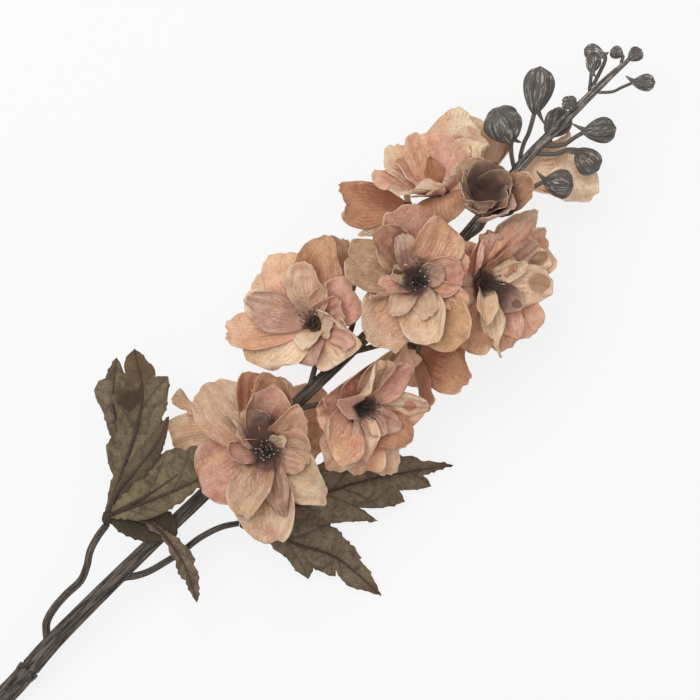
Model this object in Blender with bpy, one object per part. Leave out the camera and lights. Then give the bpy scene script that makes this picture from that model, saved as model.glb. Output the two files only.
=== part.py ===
"""Delphinium flower spike, cut and laid on its back.

One stem lies along +X with its cut end at the origin's side and its tip far out. Its open double
blooms, its buds and its two cut leaves are separate solids, seated 0.3 mm from what carries them.
Lengths are metres, +Z is up, and z = 0 is the surface that the spike lies on.
"""

import math
import random
from typing import NamedTuple

import bmesh
import bpy
import numpy as np
from mathutils import Vector
from mathutils.geometry import delaunay_2d_cdt

MM = 0.001

# ------------------------------------------------------------------ driving dimensions
SEAT_GAP = 0.3 * MM  # between a piece and what carries it
PETAL_THICKNESS = 0.7 * MM
LEAF_THICKNESS = 0.8 * MM
PETAL_WIDEST = 0.58  # share of a petal's length where it is widest
PETAL_CLAW = 0.24  # width of a petal's root, as a share of its full width
LONG_PETAL = 37 * MM  # from this length a petal is bent in three stretches and not in two
CORE_RADIUS = 3.4 * MM
CORE_BOTTOM, CORE_TOP = -3.2 * MM, 1.6 * MM
PEDICEL_RADIUS, PEDICEL_END_RADIUS = 1.25 * MM, 2.3 * MM
STALK_RADIUS = 1.0 * MM
BLOOM_GAP = 0.3 * MM  # kept on each side of the plane between two blooms
BEND_ZONE = 6.0 * MM  # how far from such a plane a petal starts to bend
FLOOR_ZONE = 2.0 * MM  # how far above the surface a petal starts to flatten
PLANE_TILT = 4.0  # how much more height counts than distance in the planes between blooms
BOWL_DEPTH = 9.0 * MM  # from a bloom's heart to the middle of its bowl
STALK_CLEARANCE = 1.6 * MM  # between a petal and another piece's stalk
STEM_SIDES = 8
REST_FROM, REST_TO = -14 * MM, 14 * MM  # the stretch of stem that lies flat

# Middle line of the stem: x, y, height and radius, in millimetres. The first two lie flat.
STEM_LINE = (
    (-14, 0.6, None, 4.9), (14, 0.0, None, 4.9), (45, -1.2, 8.0, 4.8), (73, -1.6, 12.5, 4.8),
    (100, 0.1, 17.0, 4.1), (138, 0.2, 22.5, 3.6), (166, -0.2, 26.0, 3.2), (199, -1.1, 29.5, 3.1),
    (250, -1.5, 34.0, 2.9), (310, -2.5, 37.0, 2.7), (360, -1.9, 39.0, 2.6), (399, 2.8, 41.0, 2.3),
    (430, 3.0, 42.0, 2.0), (452, 2.8, 43.0, 1.6), (463, 2.1, 43.4, 1.0),
)
# The joint low on the stem, a lip and a groove: x and radius, in millimetres.
STEM_JOINT = ((79, 4.7), (82.3, 5.3), (83.1, 5.1), (83.5, 3.7), (84.4, 3.7), (84.9, 4.5), (88, 4.3))


class Plan(NamedTuple):
    """One petal as listed, in millimetres and degrees. What is None follows the petal's ring."""

    turn: float  # round the bloom, from the side of the stem's tip
    length: float
    width: float
    lean: float = None  # from the bloom's axis, past the claw
    curl: float = None  # more lean towards the tip
    fold: float = 0.0  # how steeply the two halves rise from the middle line
    twist: float = 0.0  # turn about its own length, growing to the tip
    left: float = 0.0  # how far each margin rolls up and over
    right: float = 0.0
    point: float = 0.0  # 0 is a round tip, 1 a sharp one


class Petal(NamedTuple):
    """One petal with its form settled, in metres and degrees."""

    plan: Plan
    turn: float
    length: float
    width: float
    ring: int
    root_lean: float
    lean: float
    curl: float
    cup: float
    roll: float
    wave: float


class Bloom(NamedTuple):
    """One bloom: where its pedicel leaves the stem, its heart, the way it faces, and its petals."""

    name: str
    root: float
    heart: tuple
    faces: tuple
    outer: tuple
    middle: tuple = ()
    inner: tuple = ()
    leans: tuple = (84, 62, 36)
    curls: tuple = (14, 6, -14)
    cups: tuple = (0.16, 0.28, 0.42)
    eye: bool = True


def ring_of(count, length, width, start=0.0):
    """A ring of like petals."""
    return tuple(Plan(start + 360.0 * i / count, length, width) for i in range(count))


P = Plan
BLOOMS = (
    Bloom("bloom_01", 205, (230.8, -7.2, 53), (0.0, 0.05, 1.0),
          (P(90, 41, 27), P(56, 38, 20), P(28, 39, 30), P(-77, 37, 27), P(-131, 41, 26), P(164, 33, 29)),
          (P(42, 31, 22, left=70), P(-4, 32, 18, left=60), P(-38, 25, 17),
           P(91, 28, 14, lean=56, fold=0.4, twist=50), P(-118, 31, 15, lean=76, fold=0.5, point=0.6),
           P(-152, 33, 18, lean=74, fold=0.5)),
          (P(58, 23, 14, lean=56), P(135, 20, 13, lean=62, right=150), P(-70, 20, 11, lean=72),
           P(-6, 13, 9, lean=40))),
    Bloom("bloom_02", 262, (285.1, 17.1, 48), (-0.34, 0.34, 0.877),
          (P(135, 46, 19), P(106, 37, 22), P(67, 36, 25), P(30, 40, 25, point=0.2), P(-14, 32, 22),
           P(-84, 36, 31), P(167, 41, 31)),
          (P(113, 32, 18, lean=64, twist=-25), P(34, 31, 19, lean=60),
           P(-20, 25, 15, lean=66, left=100), P(-58, 31, 15, lean=74, left=80), P(-162, 18, 27, lean=84)),
          (P(55, 15, 9, lean=40), P(4, 24, 10, lean=68, left=70, right=70), P(-132, 13, 14, lean=50),
           P(-45, 16, 13, lean=58))),
    Bloom("bloom_03", 303, (329, -1.0, 63), (0.0, 0.12, 0.99),
          (P(117, 34, 25), P(44, 38, 28), P(-33, 28, 15), P(-98, 36, 25), P(-174, 38, 31)),
          (P(80, 30, 18), P(10, 36, 21), P(-38, 24, 19, left=70, right=70),
           P(-66, 27, 14, lean=74, left=120), P(-122, 32, 21, lean=70),
           P(163, 23, 12, fold=0.4, twist=60)),
          (P(62, 24, 11, lean=60), P(-24, 16, 11, lean=52, left=60), P(-112, 21, 12, lean=64),
           P(113, 14, 9, lean=52), P(-163, 22, 11, lean=64))),
    Bloom("bloom_04", 250, (273.1, -22.1, 48), (0.12, -0.485, 0.866),
          (P(-166, 31, 21), P(-134, 31, 19), P(-114, 34, 19), P(-4, 36, 20), P(16, 38, 24),
           P(92, 27, 24, lean=78), P(136, 28, 22, lean=76), P(64, 30, 24, lean=72)),
          (P(168, 33, 25, right=60), P(-137, 24, 13, lean=70, fold=0.7, point=0.7), P(-84, 27, 18),
           P(-42, 30, 20, lean=66), P(12, 32, 14, fold=0.5), P(36, 31, 19, left=110)),
          (P(-77, 20, 11, lean=60), P(-106, 17, 10, lean=48), P(116, 24, 11, lean=64, fold=0.6))),
    Bloom("bloom_05", 325, (349, -22.0, 52), (0.3, -0.3, 0.906),
          (P(-13, 37, 24), P(-88, 32, 22), P(-117, 31, 20), P(19, 42, 22), P(56, 32, 22),
           P(98, 27, 20, lean=66), P(140, 29, 22), P(-152, 31, 20)),
          (P(-26, 32, 20, lean=72), P(-50, 31, 20, lean=66), P(-4, 30, 14, lean=58), P(13, 35, 17),
           P(62, 32, 17, lean=56), P(-134, 34, 11, lean=80, twist=60, point=0.9)),
          (P(18, 20, 14, lean=48, left=50, right=50), P(-87, 20, 13, lean=64),
           P(-157, 22, 10, lean=64, fold=0.8), P(-14, 22, 10, lean=50))),
    Bloom("bloom_06", 341, (365, 20.5, 49), (0.363, 0.674, 0.643),
          (P(33, 40, 26), P(4, 34, 22), P(-24, 36, 20), P(134, 30, 22), P(100, 30, 26),
           P(-118, 31, 32, lean=112)),
          (P(66, 28, 24), P(125, 23, 20), P(15, 25, 20), P(-158, 26, 27, lean=54, curl=24),
           P(-108, 24, 28, lean=46, curl=30)),
          (P(72, 16, 9, point=0.8),),
          leans=(66, 46, 26), curls=(20, 8, -10), eye=False),
    Bloom("bloom_07", 352, (371.2, -0.3, 66), (0.45, 0.45, 0.77),
          (P(-30, 26, 20, lean=44), P(-98, 22, 22, lean=36), P(80, 25, 20, lean=36)),
          (P(45, 23, 20), P(105, 22, 18), P(-15, 22, 18), P(165, 20, 18), P(-135, 19, 18),
           P(-75, 20, 18)), (),
          leans=(40, 20, 10), curls=(20, 18, 0), cups=(0.4, 0.5, 0.4), eye=False),
    Bloom("bloom_08", 322, (350, 25.0, 28), (-0.50, 0.80, -0.33),
          (P(-109, 47, 22), P(-142, 27, 11, point=0.8), P(20, 22, 20), P(100, 26, 22)), (),
          leans=(60, 38, 20), eye=False),
    Bloom("bloom_09", 283, (305, 20.0, 26), (-0.15, 0.85, -0.5),
          (P(-24, 31, 22), P(64, 29, 26), P(150, 28, 26), P(-112, 22, 24)), (),
          leans=(62, 38, 20), eye=False),
    Bloom("bloom_10", 287, (309, -24.0, 29), (0.18, -0.93, -0.25),
          (P(85, 31, 26), P(146, 28, 20), P(-20, 27, 24), P(-110, 26, 24)), (),
          leans=(52, 36, 20), eye=False),
    Bloom("bloom_11", 202, (222, 16.0, 25), (-0.70, 0.62, -0.36),
          (P(164, 25, 18), P(236, 25, 18), P(308, 25, 18), P(56, 25, 24)), (),
          leans=(32, 34, 20), cups=(0.35, 0.4, 0.4), eye=False),
    Bloom("bloom_12", 367, (397.5, -2.8, 27), (0.9, -0.42, -0.1),
          (P(140, 35, 24, twist=-60), P(72, 40, 22), P(-14, 34, 20), P(178, 26, 18), P(-100, 28, 18)),
          (), leans=(15, 20, 10), curls=(6, 0, 0), cups=(0.45, 0.5, 0.5), eye=False),
    Bloom("bloom_13", 368, (390, 13.0, 35), (0.50, 0.76, -0.40),
          ring_of(4, 26, 24, 54), (), leans=(34, 24, 14), cups=(0.35, 0.4, 0.4), eye=False),
    Bloom("bloom_14", 312, (333, -14.0, 22), (0.05, -0.62, -0.78),
          ring_of(4, 27, 24, 20), (), leans=(62, 40, 20), eye=False),
    Bloom("bloom_15", 228, (245, -2.0, 20), (-0.15, -0.22, -0.96),
          ring_of(4, 24, 23, 10), (), leans=(66, 42, 20), eye=False),
)

# Colours, as linear light, and roughness.
PETAL_COLOURS = ((0.56, 0.34, 0.23), (0.60, 0.39, 0.27), (0.52, 0.31, 0.21), (0.50, 0.26, 0.15))
STAMEN_COLOUR = (0.045, 0.025, 0.022)
LEAF_COLOUR = (0.14, 0.115, 0.075)
BUD_COLOUR = (0.11, 0.10, 0.09)
STEM_COLOUR = (0.075, 0.06, 0.05)
SMOOTH_ANGLE = math.radians(40)


# ------------------------------------------------------------------ small geometry helpers
def unit(vector):
    return Vector(vector).normalized()


def rise(value, start, end):
    """0 up to start, 1 from end, smooth between them."""
    share = np.clip((value - start) / (end - start), 0.0, 1.0)
    return share * share * (3.0 - 2.0 * share)


def smooth_line(points, pieces=8):
    """A Catmull-Rom curve through the points, any number of values each, with pieces steps a span."""
    known = np.array(points, float)
    padded = np.vstack([2 * known[0] - known[1], known, 2 * known[-1] - known[-2]])
    line = []
    for i in range(1, len(padded) - 2):
        before, here, after, beyond = padded[i - 1 : i + 3]
        for t in np.arange(pieces) / pieces:
            line.append(
                0.5
                * (
                    2 * here
                    + (after - before) * t
                    + (2 * before - 5 * here + 4 * after - beyond) * t**2
                    + (3 * here - before - 3 * after + beyond) * t**3
                )
            )
    return np.array(line + [known[-1]])


def stem_at(x):
    """(point on the stem's middle line, its radius) at a distance along X, in metres."""
    line = STEM_PATH
    return (
        Vector((x, np.interp(x, line[:, 0], line[:, 1]), np.interp(x, line[:, 0], line[:, 2]))),
        float(np.interp(x, line[:, 0], line[:, 3])),
    )


def stem_path():
    """The stem's middle line and radius in metres, with the flat stretch at the height of its underside."""
    flat = math.cos(math.pi / STEM_SIDES)
    known = [(x, y, r * flat if z is None else z, r) for x, y, z, r in STEM_LINE]
    line = smooth_line(known, 4)
    line[line[:, 0] <= REST_TO / MM, 2] = known[0][2]
    line[line[:, 0] <= REST_TO / MM, 3] = known[0][3]
    return line * MM


def new_object(name, mesh):
    made = bpy.data.objects.new(name, mesh)
    bpy.context.scene.collection.objects.link(made)
    return made


def tube(name, path, radii, sides, start_facing=None, end_facing=None):
    """A closed tube along a path, one ring of points at each, joined with bridged loops and capped."""
    shape = bmesh.new()
    ways = [
        (Vector(path[min(i + 1, len(path) - 1)]) - Vector(path[max(i - 1, 0)])).normalized()
        for i in range(len(path))
    ]
    if start_facing is not None:
        ways[0] = unit(start_facing)
    if end_facing is not None:
        ways[-1] = unit(end_facing)
    across = ways[0].cross(Vector((0, 0, 1)))
    across = across.normalized() if across.length > 0.1 else ways[0].orthogonal().normalized()
    loops = []
    for point, way, radius in zip(path, ways, radii):
        across = (across - way * across.dot(way)).normalized()
        upward = across.cross(way)
        ring = []
        for k in range(sides):
            turn = 2 * math.pi * (k + 0.5) / sides
            spot = (across * math.cos(turn) + upward * math.sin(turn)) * radius
            ring.append(shape.verts.new(Vector(point) + spot))
        loops.append([shape.edges.new((ring[k], ring[(k + 1) % sides])) for k in range(sides)])
        if len(loops) in (1, len(path)):
            shape.faces.new(ring)
    for first, second in zip(loops, loops[1:]):
        bmesh.ops.bridge_loops(shape, edges=first + second)
    bmesh.ops.recalc_face_normals(shape, faces=shape.faces)
    mesh = bpy.data.meshes.new(name)
    shape.to_mesh(mesh)
    shape.free()
    return new_object(name, mesh)


def turned(name, heart, axis, profile, sides, lobes=0, lobe_depth=0.0):
    """A closed solid turned round an axis: profile is (distance along the axis, radius), ends included."""
    shape = bmesh.new()
    upward = unit(axis)
    across = upward.orthogonal().normalized()
    beside = upward.cross(across)
    loops = []
    for height, radius in profile:
        ring = []
        for k in range(sides):
            turn = 2 * math.pi * k / sides
            reach = radius * (1 + lobe_depth * math.cos(lobes * turn))
            spot = (across * math.cos(turn) + beside * math.sin(turn)) * reach
            ring.append(shape.verts.new(Vector(heart) + upward * height + spot))
        loops.append([shape.edges.new((ring[k], ring[(k + 1) % sides])) for k in range(sides)])
        if len(loops) in (1, len(profile)):
            shape.faces.new(ring)
    for first, second in zip(loops, loops[1:]):
        bmesh.ops.bridge_loops(shape, edges=first + second)
    bmesh.ops.recalc_face_normals(shape, faces=shape.faces)
    mesh = bpy.data.meshes.new(name)
    shape.to_mesh(mesh)
    shape.free()
    return new_object(name, mesh)


def sheet(name, grid, thickness):
    """A thin solid round a grid of points: both faces split into triangles alike."""
    shape = bmesh.new()
    rows, cols = grid.shape[:2]
    spots = [[shape.verts.new(grid[i, j]) for j in range(cols)] for i in range(rows)]
    for i in range(rows - 1):
        for j in range(cols - 1):
            a, b = spots[i][j], spots[i][j + 1]
            c, d = spots[i + 1][j + 1], spots[i + 1][j]
            if (j < (cols - 1) / 2) == (i < (rows - 1) / 2):
                shape.faces.new((a, b, c))
                shape.faces.new((a, c, d))
            else:
                shape.faces.new((a, b, d))
                shape.faces.new((b, c, d))
    bmesh.ops.recalc_face_normals(shape, faces=shape.faces)
    mesh = bpy.data.meshes.new(name)
    shape.to_mesh(mesh)
    shape.free()
    made = new_object(name, mesh)
    solid = made.modifiers.new("thickness", "SOLIDIFY")
    solid.thickness = thickness
    solid.offset = 0.0
    return made


def applied(made):
    """Replaces an object's mesh by the one its modifiers give."""
    graph = bpy.context.evaluated_depsgraph_get()
    mesh = bpy.data.meshes.new_from_object(made.evaluated_get(graph), depsgraph=graph)
    made.modifiers.clear()
    made.data = mesh
    return made


def finished(made, colour, roughness):
    """Gives an object its own material and smooth shading up to a fold."""
    paint = bpy.data.materials.new(made.name)
    paint.use_nodes = True
    shader = paint.node_tree.nodes["Principled BSDF"]
    shader.inputs["Base Color"].default_value = (*colour, 1)
    shader.inputs["Roughness"].default_value = roughness
    paint.diffuse_color = (*colour, 1)
    made.data.materials.clear()
    made.data.materials.append(paint)
    made.data.shade_smooth()
    made.data.set_sharp_from_angle(angle=SMOOTH_ANGLE)
    return made


def fused(name, body, pieces):
    """One solid of a body and the pieces that grow from it. The pieces are removed."""
    group = bpy.data.collections.new(name + "_pieces")
    bpy.context.scene.collection.children.link(group)
    for piece in pieces:
        group.objects.link(piece)
        bpy.context.scene.collection.objects.unlink(piece)
    join = body.modifiers.new("join", "BOOLEAN")
    join.operation = "UNION"
    join.operand_type = "COLLECTION"
    join.collection = group
    join.solver = "MANIFOLD"
    applied(body)
    for piece in list(group.objects):
        bpy.data.objects.remove(piece)
    bpy.data.collections.remove(group)
    keep_largest_part(body.data)
    body.name = body.data.name = name
    return body


def keep_largest_part(mesh):
    """Drops the scraps that a union leaves loose, and the inner skins of hollows that it seals."""
    shape = bmesh.new()
    shape.from_mesh(mesh)
    bmesh.ops.triangulate(shape, faces=shape.faces)
    left = set(shape.faces)
    parts = []
    while left:
        part = {left.pop()}
        front = list(part)
        while front:
            edges = {edge for face in front for edge in face.edges if len(edge.link_faces) == 2}
            near = {face for edge in edges for face in edge.link_faces} - part
            part |= near
            front = list(near)
        left -= part
        parts.append(part)
    parts.sort(key=len)
    for part in parts[:-1]:
        bmesh.ops.delete(shape, geom=list(part), context="FACES")
    shape.to_mesh(mesh)
    shape.free()


# ------------------------------------------------------------------ petals
def petal_outline(rows, cols):
    """Shares of the length and of the half width over a petal's grid: a claw, then a round blade."""
    along = np.linspace(0, 1, rows + 1)[:, None] * np.ones((1, cols + 1))
    across = np.linspace(-1, 1, cols + 1)[None, :] * np.ones((rows + 1, 1))
    low = np.clip(along * 2, 0, 1)
    high = np.clip(along * 2 - 1, 0, 1)
    swell = PETAL_CLAW + (1 - PETAL_CLAW) * np.sin(np.pi / 2 * low) ** 1.2
    reach = PETAL_WIDEST * low + (1 - PETAL_WIDEST) * high * np.sqrt(1 - across**2 / 2)
    side = across * swell * np.sqrt(1 - high**2 / 2)
    return reach, side


def bloom_axes(bloom):
    """The bloom's axis and the two directions round it. The first points towards the stem's tip."""
    axis = unit(bloom.faces)
    first = Vector((1, 0, 0)) - axis * axis.x
    if first.length < 0.35:
        first = Vector((0, 0, 1)) - axis * axis.z
    first.normalize()
    return axis, first, axis.cross(first)


def rolled(column, reach, side, left, right):
    """(side, lift) with each margin rolled up and over, both as shares of the half width."""
    wide = np.abs(side) / np.maximum(np.abs(column), 1e-6)
    limit = np.radians(np.where(column > 0, left, right)) * rise(reach, 0.15, 0.55)
    limit = np.where(np.abs(limit) < 1e-3, 1e-3, limit)
    turn = limit * np.clip(np.abs(column) * 2 - 1, 0, 1)
    over = np.abs(column) > 0.5
    flat = np.where(over, wide * (0.5 + 0.5 * np.sin(turn) / limit), np.abs(side))
    return np.sign(column) * flat, np.where(over, wide * 0.5 * (1 - np.cos(turn)) / limit, 0.0)


def petal_grid(bloom, petal, rows, cols):
    """Middle surface of a petal before it meets its neighbours, as a grid of points in metres."""
    plan = petal.plan
    axis, first, second = (np.array(v) for v in bloom_axes(bloom))
    reach, side = petal_outline(rows, cols)
    side = side * (1 - plan.point * rise(reach, PETAL_WIDEST * 0.8, 1.05))
    column = np.linspace(-1, 1, cols + 1)[None, :] * np.ones((rows + 1, 1))
    ahead = np.clip(reach - PETAL_WIDEST, 0, 1) / (1 - PETAL_WIDEST)
    rim = np.clip(np.hypot(side, ahead), 0, 1)
    spin = np.arctan2(side, ahead + 1e-6)
    half = petal.width / 2
    lift = petal.cup * half * side**2 + petal.wave * rim**3 * np.sin(3.2 * spin + petal.turn)
    lift += plan.fold * half * np.abs(side)
    side, over = rolled(column, reach, side, plan.left, plan.right)
    lift += over * half
    steps = np.linspace(0, 1, 33)
    lean = petal.root_lean + (petal.lean - petal.root_lean) * rise(steps, 0.0, 0.5)
    lean = np.radians(lean + petal.curl * rise(steps, 0.5, 1.0))
    middle = (lean[1:] + lean[:-1]) / 2
    outward = np.concatenate([[0], np.cumsum(np.sin(middle))]) * petal.length / 32
    upward = np.concatenate([[0], np.cumsum(np.cos(middle))]) * petal.length / 32
    start_lean = math.radians(petal.root_lean)
    ring_height = (-0.6, 0.3, 1.1)[petal.ring] * MM
    start_out = CORE_RADIUS - 2.4 * MM * math.sin(start_lean)
    start_up = ring_height - 2.4 * MM * math.cos(start_lean)
    out = start_out + np.interp(reach, steps, outward)
    up = start_up + np.interp(reach, steps, upward)
    angle = np.interp(reach, steps, lean)
    turn = math.radians(petal.turn)
    radial = math.cos(turn) * first + math.sin(turn) * second
    beside = -math.sin(turn) * first + math.cos(turn) * second
    face = -np.cos(angle)[..., None] * radial + np.sin(angle)[..., None] * axis
    roll = math.radians(petal.roll) * np.clip(reach * 2, 0, 1)
    roll = roll + math.radians(plan.twist) * rise(reach, 0.1, 1.0)
    across = np.cos(roll)[..., None] * beside + np.sin(roll)[..., None] * face
    above = -np.sin(roll)[..., None] * beside + np.cos(roll)[..., None] * face
    heart = np.array(bloom.heart) * MM
    return (
        heart
        + out[..., None] * radial
        + up[..., None] * axis
        + (half * side)[..., None] * across
        + lift[..., None] * above
    )


def petals_of(bloom):
    """The bloom's petals from its three rings, with seeded differences between them."""
    draw = random.Random(bloom.name)
    made = []
    for ring, listed in enumerate((bloom.outer, bloom.middle, bloom.inner)):
        for plan in listed:
            turn = plan.turn + draw.uniform(-3, 3)
            root_lean = (54, 38, 20)[ring] + draw.uniform(-4, 4)
            lean = bloom.leans[ring] + draw.uniform(-3, 3)
            curl = bloom.curls[ring] + draw.uniform(-5, 5)
            made.append(
                Petal(
                    plan=plan,
                    turn=turn,
                    length=plan.length * MM,
                    width=plan.width * MM,
                    ring=ring,
                    root_lean=root_lean,
                    lean=lean if plan.lean is None else plan.lean,
                    curl=curl if plan.curl is None else plan.curl,
                    cup=bloom.cups[ring] + draw.uniform(-0.05, 0.05),
                    roll=(12, 14, 8)[ring] + draw.uniform(-3, 3),
                    wave=(1.8, 1.4, 0.6)[ring] * MM,
                )
            )
    return made


def bowl_middle(bloom):
    return np.array(bloom.heart) * MM + np.array(unit(bloom.faces)) * BOWL_DEPTH


# How much of the way to its neighbour the first bloom of a pair may fill. It is half where not listed.
SHARES = {
    ("bloom_01", "bloom_02"): 0.64, ("bloom_01", "bloom_04"): 0.43, ("bloom_02", "bloom_04"): 0.56,
    ("bloom_03", "bloom_07"): 0.68, ("bloom_05", "bloom_07"): 0.62, ("bloom_05", "bloom_12"): 0.62,
    ("bloom_05", "bloom_13"): 0.60, ("bloom_06", "bloom_08"): 0.56,
}


def share_of(bloom, other):
    return SHARES.get((bloom.name, other.name), 1 - SHARES.get((other.name, bloom.name), 0.5))


def neighbour_planes(bloom):
    """(normal, offset) of each plane that the bloom stays behind: one to each other bloom near it."""
    planes = []
    here = bowl_middle(bloom)
    for other in BLOOMS:
        there = bowl_middle(other)
        if other.name == bloom.name or np.linalg.norm(there - here) > 85 * MM:
            continue
        normal = (there - here) * (1, 1, PLANE_TILT)
        normal /= np.linalg.norm(normal)
        border = here + (there - here) * share_of(bloom, other)
        planes.append((normal, float(normal @ border) - BLOOM_GAP / 2 - PETAL_THICKNESS / 2))
    return planes


def bent_clear(points, planes, floor):
    """Points pressed back to their own side of each plane and above the surface, smoothly."""
    bent = points.copy()
    for _ in range(3):
        for normal, offset in planes:
            inside = offset - bent @ normal
            pressed = np.where(inside < BEND_ZONE, BEND_ZONE * np.exp(inside / BEND_ZONE - 1), inside)
            bent += (inside - pressed)[..., None] * normal
    height = bent[..., 2] - floor
    bent[..., 2] = floor + np.where(
        height < FLOOR_ZONE, FLOOR_ZONE * np.exp(height / FLOOR_ZONE - 1), height
    )
    return bent


def least_distance(points, obstacles):
    """Least distance left between points and round-ended rods (start, end, radius)."""
    flat = points.reshape(-1, 3)
    least = 1.0
    for start, end, radius in obstacles:
        way = end - start
        share = np.clip((flat - start) @ way / max(way @ way, 1e-12), 0, 1)
        away = np.linalg.norm(flat - start - share[:, None] * way, axis=1) - radius
        least = min(least, float(away.min()))
    return least


def settled_petals(bloom, obstacles):
    """The bloom's petals, each closed up and shortened step by step until it clears the stalks near it."""
    planes = neighbour_planes(bloom)
    floor = PETAL_THICKNESS / 2
    settled = []
    for petal in petals_of(bloom):
        for _ in range(14):
            points = bent_clear(petal_grid(bloom, petal, 8, 6), planes, floor)
            if least_distance(points[1:], obstacles) > STALK_CLEARANCE:
                break
            petal = petal._replace(lean=petal.lean - 5, curl=petal.curl - 3, length=petal.length * 0.95)
        settled.append(petal)
    return settled, planes, floor


# ------------------------------------------------------------------ the stem with its pedicels and petioles
def pedicel_path(bloom):
    """From inside the stem, out and up to the seat under the bloom's heart."""
    start, _ = stem_at(bloom.root * MM)
    heart = Vector(bloom.heart) * MM
    facing = unit(bloom.faces)
    end = heart + facing * (CORE_BOTTOM - SEAT_GAP)
    side = Vector((0, end.y - start.y, end.z - start.z)).normalized()
    reach = (end - start).length
    second = start + (Vector((0.75, 0, 0)) + side * 0.6) * reach * 0.4
    third = end - facing * reach * 0.35
    path = []
    for t in (0, 0.25, 0.5, 0.75, 0.92, 1):
        path.append(
            start * (1 - t) ** 3 + second * 3 * t * (1 - t) ** 2 + third * 3 * t * t * (1 - t) + end * t**3
        )
    return path


PETIOLES = {
    "left": ((98, 1.0, 15.5), (101, 5.0, 17), (105, 8.5, 19), (112, 10.4, 22), (121, 10.9, 25.5),
             (130, 10.6, 29), (137, 13.2, 32), (143, 16.8, 34.5), (150, 19.0, 35.8)),
    "right": ((143, -1.0, 22), (148, -5.2, 21.5), (154, -8.2, 20.5), (162, -10.4, 19),
              (170, -12.2, 17.5), (180, -13.6, 16), (190, -17.0, 14.8)),
}
PETIOLE_RADII = {"left": (1.9, 1.6), "right": (1.7, 1.35)}


def petiole_path(side):
    """The petiole's middle line, which ends at the seat under its leaf's hub, and the way it ends."""
    centre, facing = LEAF_HUBS["leaf_" + side]
    end = Vector(centre) * MM - unit(facing) * (LEAF_HUB_LENGTH / 2 + SEAT_GAP)
    return [Vector(p) * MM for p in PETIOLES[side]] + [end], unit(facing)


def build_stem():
    marks = sorted(
        {round(x, 1) for x, _, _, _ in STEM_LINE} | {x for x, _ in STEM_JOINT} | {8}
    )
    path, radii = [], []
    joint = dict(STEM_JOINT)
    for x in marks:
        point, radius = stem_at(x * MM)
        path.append(point)
        radii.append(joint.get(x, radius / MM) * MM)
    stem = tube("stem", path, radii, STEM_SIDES)
    pieces = []
    for bloom in BLOOMS:
        start, _, near, far, _, end = pedicel_path(bloom)
        path = [start, near, far, end]
        radii = [PEDICEL_RADIUS * 1.25, PEDICEL_RADIUS, PEDICEL_RADIUS, PEDICEL_END_RADIUS]
        pieces.append(tube("pedicel", path, radii, 5, end_facing=bloom.faces))
    for side in PETIOLES:
        path, facing = petiole_path(side)
        low, high = PETIOLE_RADII[side]
        radii = np.linspace(low, high, len(path)) * MM
        pieces.append(tube("petiole", path, radii, 5, end_facing=facing))
    return finished(fused("stem", stem, pieces), STEM_COLOUR, 0.7)


def rods_of(path, radius):
    """A path as round-ended rods, for keeping petals clear of it."""
    return [(np.array(a), np.array(b), radius) for a, b in zip(path, path[1:])]


def stalk_obstacles(bloom):
    """Rods for everything that this bloom's petals keep clear of."""
    rods = []
    line = [Vector(p[:3]) for p in STEM_PATH]
    rods += rods_of(line[len(line) // 4 :], 2.9 * MM)
    for other in BLOOMS:
        path = pedicel_path(other)
        rods += rods_of(path[:-2] if other.name == bloom.name else path, PEDICEL_RADIUS)
    for bud in BUDS:
        path = bud_root(bud)
        rods += rods_of(path, bud.stalk_radius * MM)
        reach = unit(bud.points) * bud.length * MM
        rods += rods_of([path[-1] + reach * 0.35, path[-1] + reach * 0.75], bud.width / 2 * MM)
    return rods


# ------------------------------------------------------------------ blooms
def build_bloom(bloom):
    settled, planes, floor = settled_petals(bloom, stalk_obstacles(bloom))
    sides = 6
    profile = (
        (CORE_BOTTOM, PEDICEL_END_RADIUS),
        (CORE_BOTTOM * 0.4, CORE_RADIUS),
        (CORE_TOP, CORE_RADIUS * 0.95),
    )
    core = turned(bloom.name, Vector(bloom.heart) * MM, bloom.faces, profile, sides)
    pieces = []
    for number, petal in enumerate(settled):
        rows = 3 if petal.length > LONG_PETAL else 2
        points = bent_clear(petal_grid(bloom, petal, rows, 2), planes, floor)
        pieces.append(sheet(f"petal_{number}", points, PETAL_THICKNESS))
    colour = PETAL_COLOURS[BLOOMS.index(bloom) % len(PETAL_COLOURS)]
    return finished(fused(bloom.name, core, pieces), colour, 0.8)


# ------------------------------------------------------------------ leaves
class Lobe(NamedTuple):
    """One lobe of a cut leaf, in millimetres. Its midrib is x, y, height, and its margins (along, out)."""

    name: str
    midrib: tuple
    left: tuple
    right: tuple
    fold: float  # how steeply the two halves rise from the midrib
    tilt: float  # how steeply the lobe leans, its left half up
    wave: float


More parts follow.
